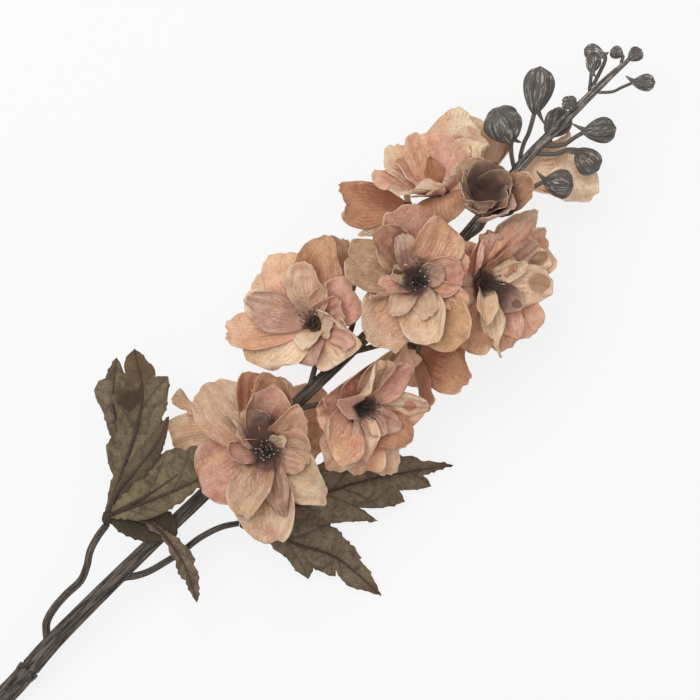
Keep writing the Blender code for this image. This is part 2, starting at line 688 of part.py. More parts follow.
LEAVES = {
    "leaf_left": (
        Lobe("upright",
             ((160, 22.5, 37), (172, 28, 39), (186, 35, 41), (198, 41, 43), (208, 48, 44.5),
              (213.5, 54, 45), (217, 60, 44), (221, 66, 42)),
             ((6, 1.5), (18, 3.5), (29, 6.5), (37, 7.5), (47, 9.5), (55, 13.5), (58, 8.5), (66.5, 9.5),
              (67, 6), (71.5, 5.5)),
             ((9, -3.5), (25, -7), (33, -6.5), (40, -9), (47.5, -10), (56, -11.5), (62.5, -12), (63, -6.5),
              (65.5, -7), (70.5, -4.5)),
             0.10, 0.0, 0.8),
        Lobe("behind",
             ((160, 23, 36.5), (168, 27, 36.5), (177, 31.5, 36), (184, 38, 36), (191, 47, 37),
              (198, 57, 38.5), (212.5, 69, 40)),
             ((5, 1.5), (17, 2.5), (31, 6.5), (36, 3.5), (46, 5), (54, 8), (60, 7), (61.5, 4)),
             ((8, -1), (21, -3.5), (29, -6), (37, -7), (42.5, -8.5), (54, -8), (58.5, -6), (65, -3.5)),
             -0.12, 0.1, 0.6),
        Lobe("folded",
             ((160, 22.5, 38), (171.5, 26.5, 41.5), (182, 27.5, 44), (193, 28.5, 46), (201, 30, 47),
              (211, 34, 47)),
             ((6.5, 1), (17, 2.5), (27, 4.5), (34, 4.5), (41.5, 3.5), (48, 2.2)),
             ((8, -2.5), (19, -4.5), (27.5, -4), (34, -4.5), (40, -3.2), (45, -2.2)),
             -0.5, 0.0, 0.3),
        Lobe("sideways",
             ((160, 22.5, 38), (168.5, 18.5, 40), (176, 15, 41), (190, 9, 42), (203, 4.5, 42.5),
              (214, 1.5, 42)),
             ((5, 3.5), (13, 7), (20, 12), (31, 15.5), (36.5, 17.5), (43, 15.5), (44, 13.5), (47.5, 14.5),
              (51, 12.5), (57, 9)),
             ((5.5, -3), (10.5, -6), (17.5, -7.5), (23, -7.5), (30.5, -6), (35.5, -5), (41.5, -3.2),
              (45.5, -3.5), (50.5, -3), (54, -2)),
             0.10, 0.0, 0.7),
        Lobe("crossing",
             ((160, 22.5, 36.5), (163, 18, 36), (165.5, 12.5, 35.2), (168.5, 5, 34.4), (171, -1.5, 33.6),
              (174.5, -5.5, 32.5)),
             ((4, 3), (12, 3.5), (19.5, 7), (29, 11), (31, 7)),
             ((3, -3.8), (8.5, -6), (14, -6.5), (20.5, -5), (26.5, -2.5)),
             0.06, 0.1, 0.3),
        Lobe("hanging",
             ((167.5, 13.5, 36.2), (171, 8, 36.5), (171.5, 1.5, 35.5), (171, -4, 34), (169.5, -11.5, 31.5),
              (167, -19, 29), (159.5, -33, 25)),
             ((5, 0.9), (14, 1.2), (24, 4.5), (32, 5.8), (33.5, 4), (39.5, 4.6), (41.5, 3.4)),
             ((5, -0.9), (15, -1), (21, -1.4), (27, -3), (29, -2.2), (37.5, -3.4), (39, -1.6)),
             0.08, 0.0, 0.2),
    ),
    "leaf_right": (
        Lobe("long",
             ((199.5, -24.5, 13.5), (206, -27.5, 13), (222, -34.5, 12), (237, -41, 10.5), (250, -48, 8.5),
              (263, -56.5, 6), (284, -72, 2.6)),
             ((4.5, 2.5), (21, 8), (39, 13.5), (45.5, 13.5), (57.5, 15), (71.5, 10), (75, 7.5), (80.5, 6.5),
              (83.5, 4), (92, 2)),
             ((5, -2.8), (19.5, -6), (35, -13.5), (58.5, -19), (50.5, -11), (60.5, -13.5), (73, -13),
              (71, -7.5), (86, -8), (83, -2.5)),
             0.04, 0.0, 0.6),
        Lobe("short",
             ((199.5, -24.5, 13), (202.5, -31, 11.5), (208.5, -47, 8.5), (216, -62, 5.5), (218, -76, 3.4),
              (218.5, -91, 1.6)),
             ((4.5, 3.2), (16, 8), (35.5, 14.5), (36, 12.5), (40.5, 11.5), (41, 10), (52.5, 7), (52, 5.8),
              (59.5, 5), (60, 4)),
             ((6, -1.5), (14, -5), (22.5, -7.5), (34, -13.5), (34.5, -7.8), (48, -6.8), (46, -4),
              (51.5, -6.5), (60, -5.4), (61, -4.4)),
             0.04, 0.0, 0.5),
    ),
}
LEAF_HUBS = {
    "leaf_left": ((159.2, 22.0, 37.3), (0.75, 0.6, 0.25)),
    "leaf_right": ((199.0, -24.2, 13.4), (0.6, -0.8, -0.1)),
}
LEAF_HUB_LENGTH, LEAF_HUB_RADIUS = 6.0 * MM, 2.3 * MM


def lobe_outline(lobe):
    """(midrib points, its lengths from the root, closed outline in plan), in metres."""
    rib = np.array(lobe.midrib, float) * MM
    steps = np.linalg.norm(np.diff(rib[:, :2], axis=0), axis=1)
    along = np.concatenate([[0], np.cumsum(steps)])

    def margin(place, out):
        spot = np.array([np.interp(place, along, rib[:, k]) for k in (0, 1)])
        past = place - along[-1]
        ahead = np.array([np.interp(place + 2 * MM, along, rib[:, k]) for k in (0, 1)])
        behind = np.array([np.interp(place - 2 * MM, along, rib[:, k]) for k in (0, 1)])
        way = (ahead - behind) / np.linalg.norm(ahead - behind)
        return spot + way * max(past, 0) + np.array([-way[1], way[0]]) * out

    left = [margin(a * MM, out * MM) for a, out in lobe.left]
    right = [margin(a * MM, out * MM) for a, out in lobe.right]
    way = (rib[0, :2] - rib[1, :2]) / np.linalg.norm(rib[0, :2] - rib[1, :2])
    aside = np.array([-way[1], way[0]]) * 0.8 * MM
    outline = [rib[0, :2] + aside, *right, rib[-1, :2], *left[::-1], rib[0, :2] - aside]
    return rib, along, np.array(outline)


def lobe_height(lobe, rib, along, spots):
    """Height of the lobe's middle surface at points of the plan."""
    best = np.full(len(spots), 1e9)
    height = np.zeros(len(spots))
    for i in range(len(rib) - 1):
        start, way = rib[i, :2], rib[i + 1, :2] - rib[i, :2]
        length = np.linalg.norm(way)
        share = np.clip((spots - start) @ way / length**2, 0, 1)
        away = spots - start - share[:, None] * way
        distance = np.linalg.norm(away, axis=1)
        side = np.sign(way[0] * away[:, 1] - way[1] * away[:, 0])
        place = along[i] + share * length
        rise_here = lobe.fold * distance + lobe.tilt * side * distance
        rise_here += lobe.wave * MM * np.sin(place / (8 * MM) + side) * np.clip(distance / (8 * MM), 0, 1)
        here = rib[i, 2] + share * (rib[i + 1, 2] - rib[i, 2]) + rise_here
        height = np.where(distance < best, here, height)
        best = np.minimum(best, distance)
    return np.maximum(height, LEAF_THICKNESS * 0.75)


def build_lobe(lobe):
    """The lobe's outline cut into triangles about its midrib, lifted to its height and made solid."""
    rib, along, outline = lobe_outline(lobe)
    inner = rib[1:-1, :2]
    points = [Vector(p) for p in (*outline, *inner)]
    edges = [(i, (i + 1) % len(outline)) for i in range(len(outline))]
    chain = list(range(len(outline), len(points)))
    edges += list(zip(chain, chain[1:]))
    flat, _, faces, *_ = delaunay_2d_cdt(points, edges, [], 1, 1e-7)
    flat = np.array(flat)
    height = lobe_height(lobe, rib, along, flat)
    mesh = bpy.data.meshes.new(lobe.name)
    mesh.from_pydata([(x, y, z) for (x, y), z in zip(flat.tolist(), height.tolist())], [], faces)
    made = new_object(lobe.name, mesh)
    solid = made.modifiers.new("thickness", "SOLIDIFY")
    solid.thickness = LEAF_THICKNESS
    solid.offset = 0.0
    return made


def build_leaf(name):
    centre, facing = LEAF_HUBS[name]
    half, radius = LEAF_HUB_LENGTH / 2, LEAF_HUB_RADIUS
    profile = ((-half, radius * 0.6), (-half * 0.4, radius), (half * 0.5, radius * 0.9), (half, radius * 0.5))
    hub = turned(name, Vector(centre) * MM, facing, profile, 7)
    leaf = fused(name, hub, [build_lobe(lobe) for lobe in LEAVES[name]])
    return finished(leaf, LEAF_COLOUR, 0.8)


# ------------------------------------------------------------------ buds
class Bud(NamedTuple):
    """One bud on its stalk: stalk points, the way the bud points, its length and width, and its spur.

    A spur below 0 stands on the other side.
    """

    name: str
    stalk: tuple
    points: tuple
    length: float
    width: float
    spur: float
    stalk_radius: float = 1.0


BUDS = (
    Bud("bud_01", ((401, 6.0, 42), (406, 8.5, 45), (411, 10.5, 48), (418, 14.5, 50)),
        (0.78, 0.60, 0.15), 20, 13.5, 7),
    Bud("bud_02", ((396, 6.0, 44), (399, 9.5, 48), (402, 13.0, 51)), (0.25, 0.75, 0.55), 17, 16.5, 4),
    Bud("bud_03", ((411, 2.5, 38.0), (414, 3.0, 35.5), (417, 3.6, 34)), (0.9, 0.12, -0.35), 15, 12.0, 3),
    Bud("bud_04", ((413, -1.0, 42.5), (418, -4.0, 44.5), (424, -5.5, 47.5), (427.5, -6.5, 48.5)),
        (0.78, -0.60, 0.12), 14, 11.2, -6),
    Bud("bud_05", ((408, -1.0, 42.5), (413, -4.5, 43), (418, -7.0, 43.5), (420.5, -9.5, 43.5)),
        (0.05, -0.95, 0.0), 13, 12.0, 5),
    Bud("bud_06", ((383, -4.5, 41), (389, -6.5, 44), (395, -8.0, 46.5), (400, -9.5, 47.5)),
        (0.55, -0.75, 0.3), 13, 12.5, -5),
    Bud("bud_07", ((431.5, 4.6, 44.5), (431.9, 5.0, 44.8)), (0.15, 0.5, 0.85), 6.5, 6.8, 0, 0.8),
    Bud("bud_08", ((443.5, 5.2, 43.5), (446.5, 7.4, 45), (448.8, 9.5, 46)), (0.83, 0.56, 0.2), 8, 6.6, 2, 0.8),
    Bud("bud_09", ((446, 5.0, 43), (452.5, 7.2, 42), (457, 8.7, 40.8), (459.2, 10.4, 40.2)),
        (-0.44, 0.89, 0.1), 9.5, 7.0, 2, 0.9),
    Bud("bud_10", ((462.0, 3.5, 43.5), (463.6, 4.4, 43.6), (464.4, 4.9, 43.7)), (-0.3, 0.93, 0.15), 6, 5.8, 0, 0.7),
    Bud("bud_11", ((463.5, 2.05, 43.45), (464.9, 1.95, 43.6)), (0.95, -0.1, 0.2), 7, 6.4, 0, 0.8),
    Bud("bud_12", ((446, -0.3, 43), (450, -2.9, 43.2), (455, -4.7, 43.6), (458.8, -6.3, 44)),
        (0.72, -0.68, 0.05), 9.8, 7.4, -4, 0.7),
)
BUD_SIDES = 8
BUD_PROFILE = ((0.0, 0.16), (0.18, 0.57), (0.45, 0.92), (0.72, 1.0), (0.92, 0.70), (1.0, 0.30))
BUD_RIDGE = 0.09


def bud_root(bud):
    """The bud's stalk in metres, its first point moved clear of the stem."""
    path = [Vector(p) * MM for p in bud.stalk]
    spot, radius = stem_at(path[0].x)
    away = path[0] - spot
    if bud.name == "bud_11":
        return path
    away.x = 0
    path[0] = spot + away.normalized() * (radius + SEAT_GAP + 0.15 * MM)
    return path


def build_bud(bud):
    path = bud_root(bud)
    way = unit(bud.points)
    base = path[-1]
    radii = [bud.stalk_radius * MM] * len(path)
    spot, _ = stem_at(path[0].x)
    start_facing = path[0] - spot
    if bud.name == "bud_11":
        start_facing = Vector((1, 0, 0))
    path.append(base + way * 1.6 * MM)
    radii.append(bud.stalk_radius * MM)
    stalk = tube("stalk", path, radii, 4, start_facing)
    profile = [(share * bud.length * MM, reach * bud.width / 2 * MM) for share, reach in BUD_PROFILE]
    sides = BUD_SIDES if bud.width > 9 else BUD_SIDES - 2
    profile = profile if bud.width > 9 else profile[:1] + profile[2:]
    body = turned(bud.name, base, way, profile, sides, sides // 2, BUD_RIDGE)
    pieces = [stalk]
    if bud.spur:
        back = way.cross(Vector((0, 0, 1))).normalized() * math.copysign(0.55, bud.spur) - way
        start = base + way * bud.length * 0.22 * MM
        foot = start + back.normalized() * bud.width * 0.2 * MM
        tip = foot + back.normalized() * abs(bud.spur) * MM
        pieces.append(tube("spur", [start, foot, tip], [1.5 * MM, 1.1 * MM, 0.35 * MM], 3))
    return finished(fused(bud.name, body, pieces), BUD_COLOUR, 0.7)


# ------------------------------------------------------------------ stamens
STAMENS, STAMEN_RADIUS = 6, 0.45 * MM
# The stamens of each bloom: the side they lean to in degrees, how strongly, and their length in mm.
STAMEN_LEAN = {
    "bloom_01": (0, 0.0, 5.6), "bloom_02": (14, 0.62, 8.2), "bloom_03": (-20, 0.30, 7.8),
    "bloom_04": (-40, 0.70, 8.2), "bloom_05": (-72, 0.80, 8.4),
}


def build_stamens(bloom):
    """The dark middle of a bloom: a low disc with stamens standing on it."""
    draw = random.Random(bloom.name + " stamens")
    axis, first, second = bloom_axes(bloom)
    heart = Vector(bloom.heart) * MM
    low = CORE_TOP + SEAT_GAP
    aim, slant, reach = STAMEN_LEAN[bloom.name]
    aside = (first * math.cos(math.radians(aim)) + second * math.sin(math.radians(aim))) * slant
    name = bloom.name + "_stamens"
    disc = turned(name, heart, axis, ((low, 2.1 * MM), (low + 0.9 * MM, 1.7 * MM)), 8)
    pieces = []
    for number in range(STAMENS):
        turn = 2 * math.pi * (number + draw.uniform(-0.2, 0.2)) / STAMENS
        out = (first * math.cos(turn) + second * math.sin(turn)) * (0.0 if number == 0 else 1.0)
        foot = heart + axis * (low + 0.4 * MM) + out * 1.15 * MM
        way = (axis + out * draw.uniform(0.15, 0.35) + aside).normalized()
        tip = foot + way * reach * MM * draw.uniform(0.8, 1.1)
        pieces.append(tube(f"stamen_{number}", [foot, tip], [STAMEN_RADIUS, STAMEN_RADIUS * 0.8], 3))
    return finished(fused(name, disc, pieces), STAMEN_COLOUR, 0.7)


STEM_PATH = stem_path()


def main():
    for old in list(bpy.data.objects):
        bpy.data.objects.remove(old)
    build_stem()
    for bloom in BLOOMS:
        build_bloom(bloom)
        if bloom.eye:
            build_stamens(bloom)
    for bud in BUDS:
        build_bud(bud)
    for name in LEAVES:
        build_leaf(name)


main()
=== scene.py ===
"""Delphinium flower spike: its petals, stamens, buds, leaves and stem, finished for close views.

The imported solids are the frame, and each of them is stood for here by a finer piece of the same form.
Lengths are metres unless a name or a comment says millimetres. +X runs along the stem to its tip, +Z is
up, and z = 0 is the surface that the spike lies on.
"""

import math
import random
from typing import NamedTuple

import bpy
import numpy as np
from bpy.props import FloatProperty, FloatVectorProperty, IntProperty, PointerProperty
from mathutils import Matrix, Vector, noise
from mathutils.geometry import delaunay_2d_cdt


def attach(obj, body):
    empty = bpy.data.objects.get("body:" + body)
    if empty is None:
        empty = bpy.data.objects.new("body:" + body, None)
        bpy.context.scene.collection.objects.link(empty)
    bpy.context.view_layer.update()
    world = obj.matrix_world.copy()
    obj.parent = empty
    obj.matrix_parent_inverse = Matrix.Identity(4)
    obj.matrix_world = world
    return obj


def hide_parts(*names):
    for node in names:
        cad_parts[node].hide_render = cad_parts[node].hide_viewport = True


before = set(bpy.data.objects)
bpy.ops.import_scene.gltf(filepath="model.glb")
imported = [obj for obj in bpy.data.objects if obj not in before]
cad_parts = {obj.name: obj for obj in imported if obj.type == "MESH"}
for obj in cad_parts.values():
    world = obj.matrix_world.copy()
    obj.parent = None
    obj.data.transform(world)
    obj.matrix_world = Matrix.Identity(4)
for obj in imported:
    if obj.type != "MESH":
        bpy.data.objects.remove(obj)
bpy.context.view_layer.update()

bl_info = {
    "name": "Delphinium Flower Spike",
    "version": (1, 0, 0),
    "blender": (4, 5, 0),
    "location": "View3D > Sidebar > Delphinium",
    "description": "Builds the finished petals, stamens, buds, leaves and stem of a cut delphinium spike",
    "category": "Object",
}

MM = 0.001
BODY = "root"

# ------------------------------------------------------------------ sizes shared with the solids
SEAT_GAP = 0.3 * MM
SOLID_PETAL = 0.7 * MM
PETAL_WIDEST = 0.58
PETAL_CLAW = 0.24
CORE_RADIUS = 3.4 * MM
CORE_BOTTOM, CORE_TOP = -3.2 * MM, 1.6 * MM
PEDICEL_RADIUS, PEDICEL_END_RADIUS = 1.25 * MM, 2.3 * MM
BLOOM_GAP = 0.3 * MM
BEND_ZONE = 6.0 * MM
FLOOR_ZONE = 2.0 * MM
PLANE_TILT = 4.0
BOWL_DEPTH = 9.0 * MM
STALK_CLEARANCE = 1.6 * MM
STEM_SIDES = 8
REST_TO = 14 * MM
NEIGHBOUR_REACH = 85 * MM  # between blooms that share a plane
ROOT_SINK = 2.4 * MM  # how far a petal's root lies inside the core
# For the outer, middle and inner ring of petals, in millimetres and degrees.
RING_HEIGHTS = (-0.6, 0.3, 1.1)
ROOT_LEANS = (54, 38, 20)
RING_ROLLS = (12, 14, 8)
RING_WAVES = (1.8, 1.4, 0.6)
LEAN_STEPS = 32  # stretches that a petal's bend is added up over
# How a petal closes up, step by step, where it touches a stalk.
CLOSING_TRIES, CLOSING_LEAN, CLOSING_CURL, CLOSING_SHARE = 14, 5, 3, 0.95
CLEARANCE_GRID = 8, 6  # rows and columns of the petal that is tested for it
STALK_ROD = 2.9 * MM  # radius that petals take the stem to have

# ------------------------------------------------------------------ sizes of the finished pieces
THROAT_SHARES = (0.6, 0.85, 1.1)  # of a bloom's throat, for its three rings
OUTER_FACE_THROAT = 0.4  # of it, on a petal's outer face
LONG_GRID, WIDE_GRID = 20 * MM, 14 * MM  # smaller petals have a coarser grid
STEM_TIP = 467.0  # where the bark ends in the end bud, in millimetres
STEM_PITCH = 1.6  # between rings of the bark, in millimetres
STEM_GRAIN, PEDICEL_GRAIN, PETIOLE_GRAIN = 0.48, 0.04, 0.09  # metres of bark that each shows
SLEEVE_END = 65 * MM  # where the stem's warmer low end stops
FOOT_REACH = 0.5 * MM  # added at the root of a bud's stalk, to meet the bark
BIG_BUD = 9.0  # above this width in millimetres a bud has five sepals and less dust
DOME_RADIUS = 2.0 * MM  # of the low dome that the stamens stand on
GOLDEN_SHARE = 0.381966  # of a full turn between one stamen and the next

# Middle line of the stem: x, y, height and radius, in millimetres. The first two lie flat.
STEM_LINE = (
    (-14, 0.6, None, 4.9), (14, 0.0, None, 4.9), (45, -1.2, 8.0, 4.8), (73, -1.6, 12.5, 4.8),
    (100, 0.1, 17.0, 4.1), (138, 0.2, 22.5, 3.6), (166, -0.2, 26.0, 3.2), (199, -1.1, 29.5, 3.1),
    (250, -1.5, 34.0, 2.9), (310, -2.5, 37.0, 2.7), (360, -1.9, 39.0, 2.6), (399, 2.8, 41.0, 2.3),
    (430, 3.0, 42.0, 2.0), (452, 2.8, 43.0, 1.6), (463, 2.1, 43.4, 1.0),
)
# The joint low on the stem, a lip and a groove: x and radius, in millimetres.
STEM_JOINT = ((79, 4.7), (82.3, 5.3), (83.1, 5.1), (83.5, 3.7), (84.4, 3.7), (84.9, 4.5), (88, 4.3))

# Petal colours in 8-bit sRGB: the ground colour and the colour of its patches, which also gives the painted
# shade towards a bloom's heart.
TINTS = {
    "cream": ((240, 219, 190), (222, 182, 146)),
    "beige": ((231, 203, 176), (208, 160, 130)),
    "peach": ((232, 193, 165), (210, 148, 118)),
    "pink": ((226, 184, 162), (198, 138, 120)),
    "mauve": ((212, 179, 160), (174, 130, 113)),
    "umber": ((196, 151, 125), (150, 103, 85)),
    "tan": ((212, 170, 135), (166, 115, 85)),
    "rust": ((200, 148, 116), (158, 105, 80)),
    "olive": ((208, 177, 144), (158, 121, 93)),
}


class Plan(NamedTuple):
    """One petal as listed, in millimetres and degrees. What is None follows the petal's ring."""

    turn: float  # round the bloom, from the side of the stem's tip
    length: float
    width: float
    tint: str = "beige"
    lean: float = None  # from the bloom's axis, past the claw
    curl: float = None  # more lean towards the tip
    fold: float = 0.0  # how steeply the two halves rise from the middle line
    twist: float = 0.0  # turn about its own length, growing to the tip
    left: float = 0.0  # how far each margin rolls up and over
    right: float = 0.0
    point: float = 0.0  # 0 is a round tip, 1 a sharp one
    dark: float = None  # how far up it the dark of the throat reaches
    blot: tuple = None  # a round spot of another colour: share of the length, column, radius in mm, and its sRGB levels


class Petal(NamedTuple):
    """One petal with its form settled, in metres and degrees."""

    plan: Plan
    turn: float
    length: float
    width: float
    ring: int
    root_lean: float
    lean: float
    curl: float
    cup: float
    roll: float
    wave: float


class Bloom(NamedTuple):
    """One bloom: where its pedicel leaves the stem, its heart, the way it faces, and its petals."""

    name: str
    root: float
    heart: tuple
    faces: tuple
    outer: tuple
    middle: tuple = ()
    inner: tuple = ()
    leans: tuple = (84, 62, 36)
    curls: tuple = (14, 6, -14)
    cups: tuple = (0.16, 0.28, 0.42)
    eye: bool = True
    dark: float = 0.5  # how far up its petals the dark of the throat reaches
    tone: float = 0.0  # lighter or darker than its tints, in sRGB levels; partly painted light, where a bloom in the lamp's shade is made lighter


def ring_of(count, length, width, start, *tints):
    """A ring of like petals."""
    return tuple(Plan(start + 360.0 * i / count, length, width, tints[i % len(tints)]) for i in range(count))


P = Plan  # short, for the long table below
BLOOMS = (
    Bloom("bloom_01", 205, (230.8, -7.2, 53), (0.0, 0.05, 1.0),
          (P(90, 41, 27, "beige"), P(56, 38, 20, "rust"), P(28, 39, 30, "tan"),
           P(-77, 37, 27, "cream"), P(-131, 41, 26, "beige"), P(164, 33, 29, "pink")),
          (P(42, 31, 22, "pink", left=70, dark=0.75), P(-4, 32, 18, "peach", left=60),
           P(-38, 25, 17, "beige"), P(91, 28, 14, "beige", lean=56, fold=0.4, twist=50),
           P(-118, 31, 15, "mauve", lean=76, fold=0.5, point=0.6),
           P(-152, 33, 18, "beige", lean=74, fold=0.5)),
          (P(58, 23, 14, "mauve", lean=56, dark=1.15), P(135, 20, 13, "pink", lean=62, right=150),
           P(-70, 20, 11, "beige", lean=72), P(-6, 13, 9, "cream", lean=40)), tone=-14),
    Bloom("bloom_02", 262, (285.1, 17.1, 48), (-0.34, 0.34, 0.877),
          (P(135, 46, 19, "peach"), P(106, 37, 22, "cream"), P(67, 36, 25, "peach"),
           P(30, 40, 25, "tan", point=0.2), P(-14, 32, 22, "pink"), P(-84, 36, 31, "cream"),
           P(167, 41, 31, "cream")),
          (P(113, 32, 18, "mauve", lean=64, twist=-25), P(34, 31, 19, "beige", lean=60),
           P(-20, 25, 15, "pink", lean=66, left=100), P(-58, 31, 15, "pink", lean=74, left=80),
           P(-162, 18, 27, "mauve", lean=84)),
          (P(55, 15, 9, "mauve", lean=40), P(4, 24, 10, "cream", lean=68, left=70, right=70),
           P(-132, 13, 14, "cream", lean=50), P(-45, 16, 13, "cream", lean=58)), dark=0.2, tone=4),
    Bloom("bloom_03", 303, (329, -1.0, 63), (0.0, 0.12, 0.99),
          (P(117, 34, 25, "olive"), P(44, 38, 28, "pink"), P(-33, 28, 15, "peach"),
           P(-98, 36, 25, "tan"), P(-174, 38, 31, "beige")),
          (P(80, 30, 18, "umber"), P(10, 36, 21, "peach"), P(-38, 24, 19, "pink", left=70, right=70),
           P(-66, 27, 14, "peach", lean=74, left=120), P(-122, 32, 21, "cream", lean=70),
           P(163, 23, 12, "pink", fold=0.4, twist=60)),
          (P(62, 24, 11, "mauve", lean=60), P(-24, 16, 11, "mauve", lean=52, left=60),
           P(-112, 21, 12, "beige", lean=64), P(113, 14, 9, "cream", lean=52),
           P(-163, 22, 11, "beige", lean=64)), tone=-6),
    # Painted light: bloom_04 and bloom_05 face away from the lamp, and their tones make them lighter.
    Bloom("bloom_04", 250, (273.1, -22.1, 48), (0.12, -0.485, 0.866),
          (P(-166, 31, 21, "beige"), P(-134, 31, 19, "peach"), P(-114, 34, 19, "beige"),
           P(-4, 36, 20, "peach"), P(16, 38, 24, "cream"), P(92, 27, 24, "pink", lean=78),
           P(136, 28, 22, "peach", lean=76), P(64, 30, 24, "pink", lean=72)),
          (P(168, 33, 25, "peach", right=60), P(-137, 24, 13, "beige", lean=70, fold=0.7, point=0.7),
           P(-84, 27, 18, "rust"), P(-42, 30, 20, "beige", lean=66, blot=(0.72, 0.1, 4.2, 168, 106, 78)),
           P(12, 32, 14, "pink", fold=0.5), P(36, 31, 19, "cream", left=110)),
          (P(-77, 20, 11, "mauve", lean=60), P(-106, 17, 10, "mauve", lean=48),
           P(116, 24, 11, "pink", lean=64, fold=0.6)), dark=0.36, tone=5),
    Bloom("bloom_05", 325, (349, -22.0, 52), (0.3, -0.3, 0.906),
          (P(-13, 37, 24, "peach"), P(-88, 32, 22, "peach"), P(-117, 31, 20, "pink"),
           P(19, 42, 22, "cream", dark=0.1), P(56, 32, 22, "peach"), P(98, 27, 20, "peach", lean=66),
           P(140, 29, 22, "beige"), P(-152, 31, 20, "tan")),
          (P(-26, 32, 20, "beige", lean=72, blot=(0.85, 0.2, 6, 160, 116, 84)),
           P(-50, 31, 20, "beige", lean=66, blot=(0.8, 0.1, 7, 158, 118, 88)),
           P(-4, 30, 14, "mauve", lean=58), P(13, 35, 17, "peach"), P(62, 32, 17, "pink", lean=56),
           P(-134, 34, 11, "cream", lean=80, twist=60, point=0.9)),
          (P(18, 20, 14, "rust", lean=48, left=50, right=50),
           P(-87, 20, 13, "mauve", lean=64, dark=1.0, blot=(0.85, 0.0, 3.4, 118, 82, 76)),
           P(-157, 22, 10, "cream", lean=64, fold=0.8), P(-14, 22, 10, "cream", lean=50)), dark=0.4, tone=7),
    Bloom("bloom_06", 341, (365, 20.5, 49), (0.363, 0.674, 0.643),
          (P(33, 40, 26, "cream"), P(4, 34, 22, "beige"), P(-24, 36, 20, "cream"), P(134, 30, 22, "peach"),
           P(100, 30, 26, "cream"), P(-118, 31, 32, "tan", lean=112)),
          (P(66, 28, 24, "peach"), P(125, 23, 20, "peach"), P(15, 25, 20, "pink"),
           P(-158, 26, 27, "beige", lean=54, curl=24), P(-108, 24, 28, "beige", lean=46, curl=30)),
          (P(72, 16, 9, "rust", point=0.8),),
          leans=(66, 46, 26), curls=(20, 8, -10), eye=False, dark=0.2),
    Bloom("bloom_07", 352, (371.2, -0.3, 66), (0.45, 0.45, 0.77),
          (P(-30, 26, 20, "tan", lean=44), P(-98, 22, 22, "mauve", lean=36),
           P(80, 25, 20, "olive", lean=36, dark=0.5)),
          (P(45, 23, 20, "olive"), P(105, 22, 18, "beige"), P(-15, 22, 18, "olive"),
           P(165, 20, 18, "beige"), P(-135, 19, 18, "mauve"), P(-75, 20, 18, "tan")),
          leans=(40, 20, 10), curls=(20, 18, 0), cups=(0.4, 0.5, 0.4), eye=False, dark=1.55),
    Bloom("bloom_08", 322, (350, 25.0, 28), (-0.50, 0.80, -0.33),
          (P(-109, 47, 22, "rust"), P(-142, 27, 11, "cream", point=0.8), P(20, 22, 20, "tan"),
           P(100, 26, 22, "peach")),
          leans=(60, 38, 20), eye=False, dark=0.2),
    Bloom("bloom_09", 283, (305, 20.0, 26), (-0.15, 0.85, -0.5),
          (P(-24, 31, 22, "tan"), P(64, 29, 26, "olive"), P(150, 28, 26, "peach"), P(-112, 22, 24, "tan")),
          leans=(62, 38, 20), eye=False, dark=0.2),
    Bloom("bloom_10", 287, (309, -24.0, 29), (0.18, -0.93, -0.25),
          (P(85, 31, 26, "rust"), P(146, 28, 20, "rust"), P(-20, 27, 24, "cream"), P(-110, 26, 24, "peach")),
          leans=(52, 36, 20), eye=False, dark=0.2),
    Bloom("bloom_11", 202, (222, 16.0, 25), (-0.70, 0.62, -0.36),
          (P(164, 25, 18, "cream"), P(236, 25, 18, "cream"), P(308, 25, 18, "beige"),
           P(56, 25, 24, "cream")),
          leans=(32, 34, 20), cups=(0.35, 0.4, 0.4), eye=False, dark=0.2),
    # Painted light: bloom_12 lies low, in shade, and its tone makes it lighter.
    Bloom("bloom_12", 367, (397.5, -2.8, 27), (0.9, -0.42, -0.1),
          (P(140, 35, 24, "cream", twist=-60), P(72, 40, 22, "cream"), P(-14, 34, 20, "cream"),
           P(178, 26, 18, "beige"), P(-100, 28, 18, "cream")),
          leans=(15, 20, 10), curls=(6, 0, 0), cups=(0.45, 0.5, 0.5), eye=False, dark=0.2, tone=22),
    Bloom("bloom_13", 368, (390, 13.0, 35), (0.50, 0.76, -0.40),
          ring_of(4, 26, 24, 54, "beige", "peach", "cream", "beige"),
          leans=(34, 24, 14), cups=(0.35, 0.4, 0.4), eye=False, dark=0.2),
    Bloom("bloom_14", 312, (333, -14.0, 22), (0.05, -0.62, -0.78),
          ring_of(4, 27, 24, 20, "peach", "beige", "rust"), leans=(62, 40, 20), eye=False, dark=0.2),
    Bloom("bloom_15", 228, (245, -2.0, 20), (-0.15, -0.22, -0.96),
          ring_of(4, 24, 23, 10, "beige", "tan", "peach"), leans=(66, 42, 20), eye=False, dark=0.2),
)


class Tuft(NamedTuple):
    """The stamens of one bloom: how many, how long in millimetres, and the way they lean."""

    count: int
    reach: float
    aim: float  # the side they lean to, in degrees like a petal's turn
    slant: float  # how strongly they lean to it
    spread: float  # how far they part from each other
    pale: float  # share of them with a pale tip


TUFTS = {
    "bloom_01": Tuft(28, 5.6, 0, 0.0, 0.75, 0.8),
    "bloom_02": Tuft(22, 8.4, 14, 0.62, 0.7, 0.06),
    "bloom_03": Tuft(26, 7.8, -20, 0.30, 0.85, 0.3),
    "bloom_04": Tuft(18, 8.4, -40, 0.70, 0.9, 0.0),
    "bloom_05": Tuft(16, 8.8, -72, 0.80, 0.65, 0.0),
}

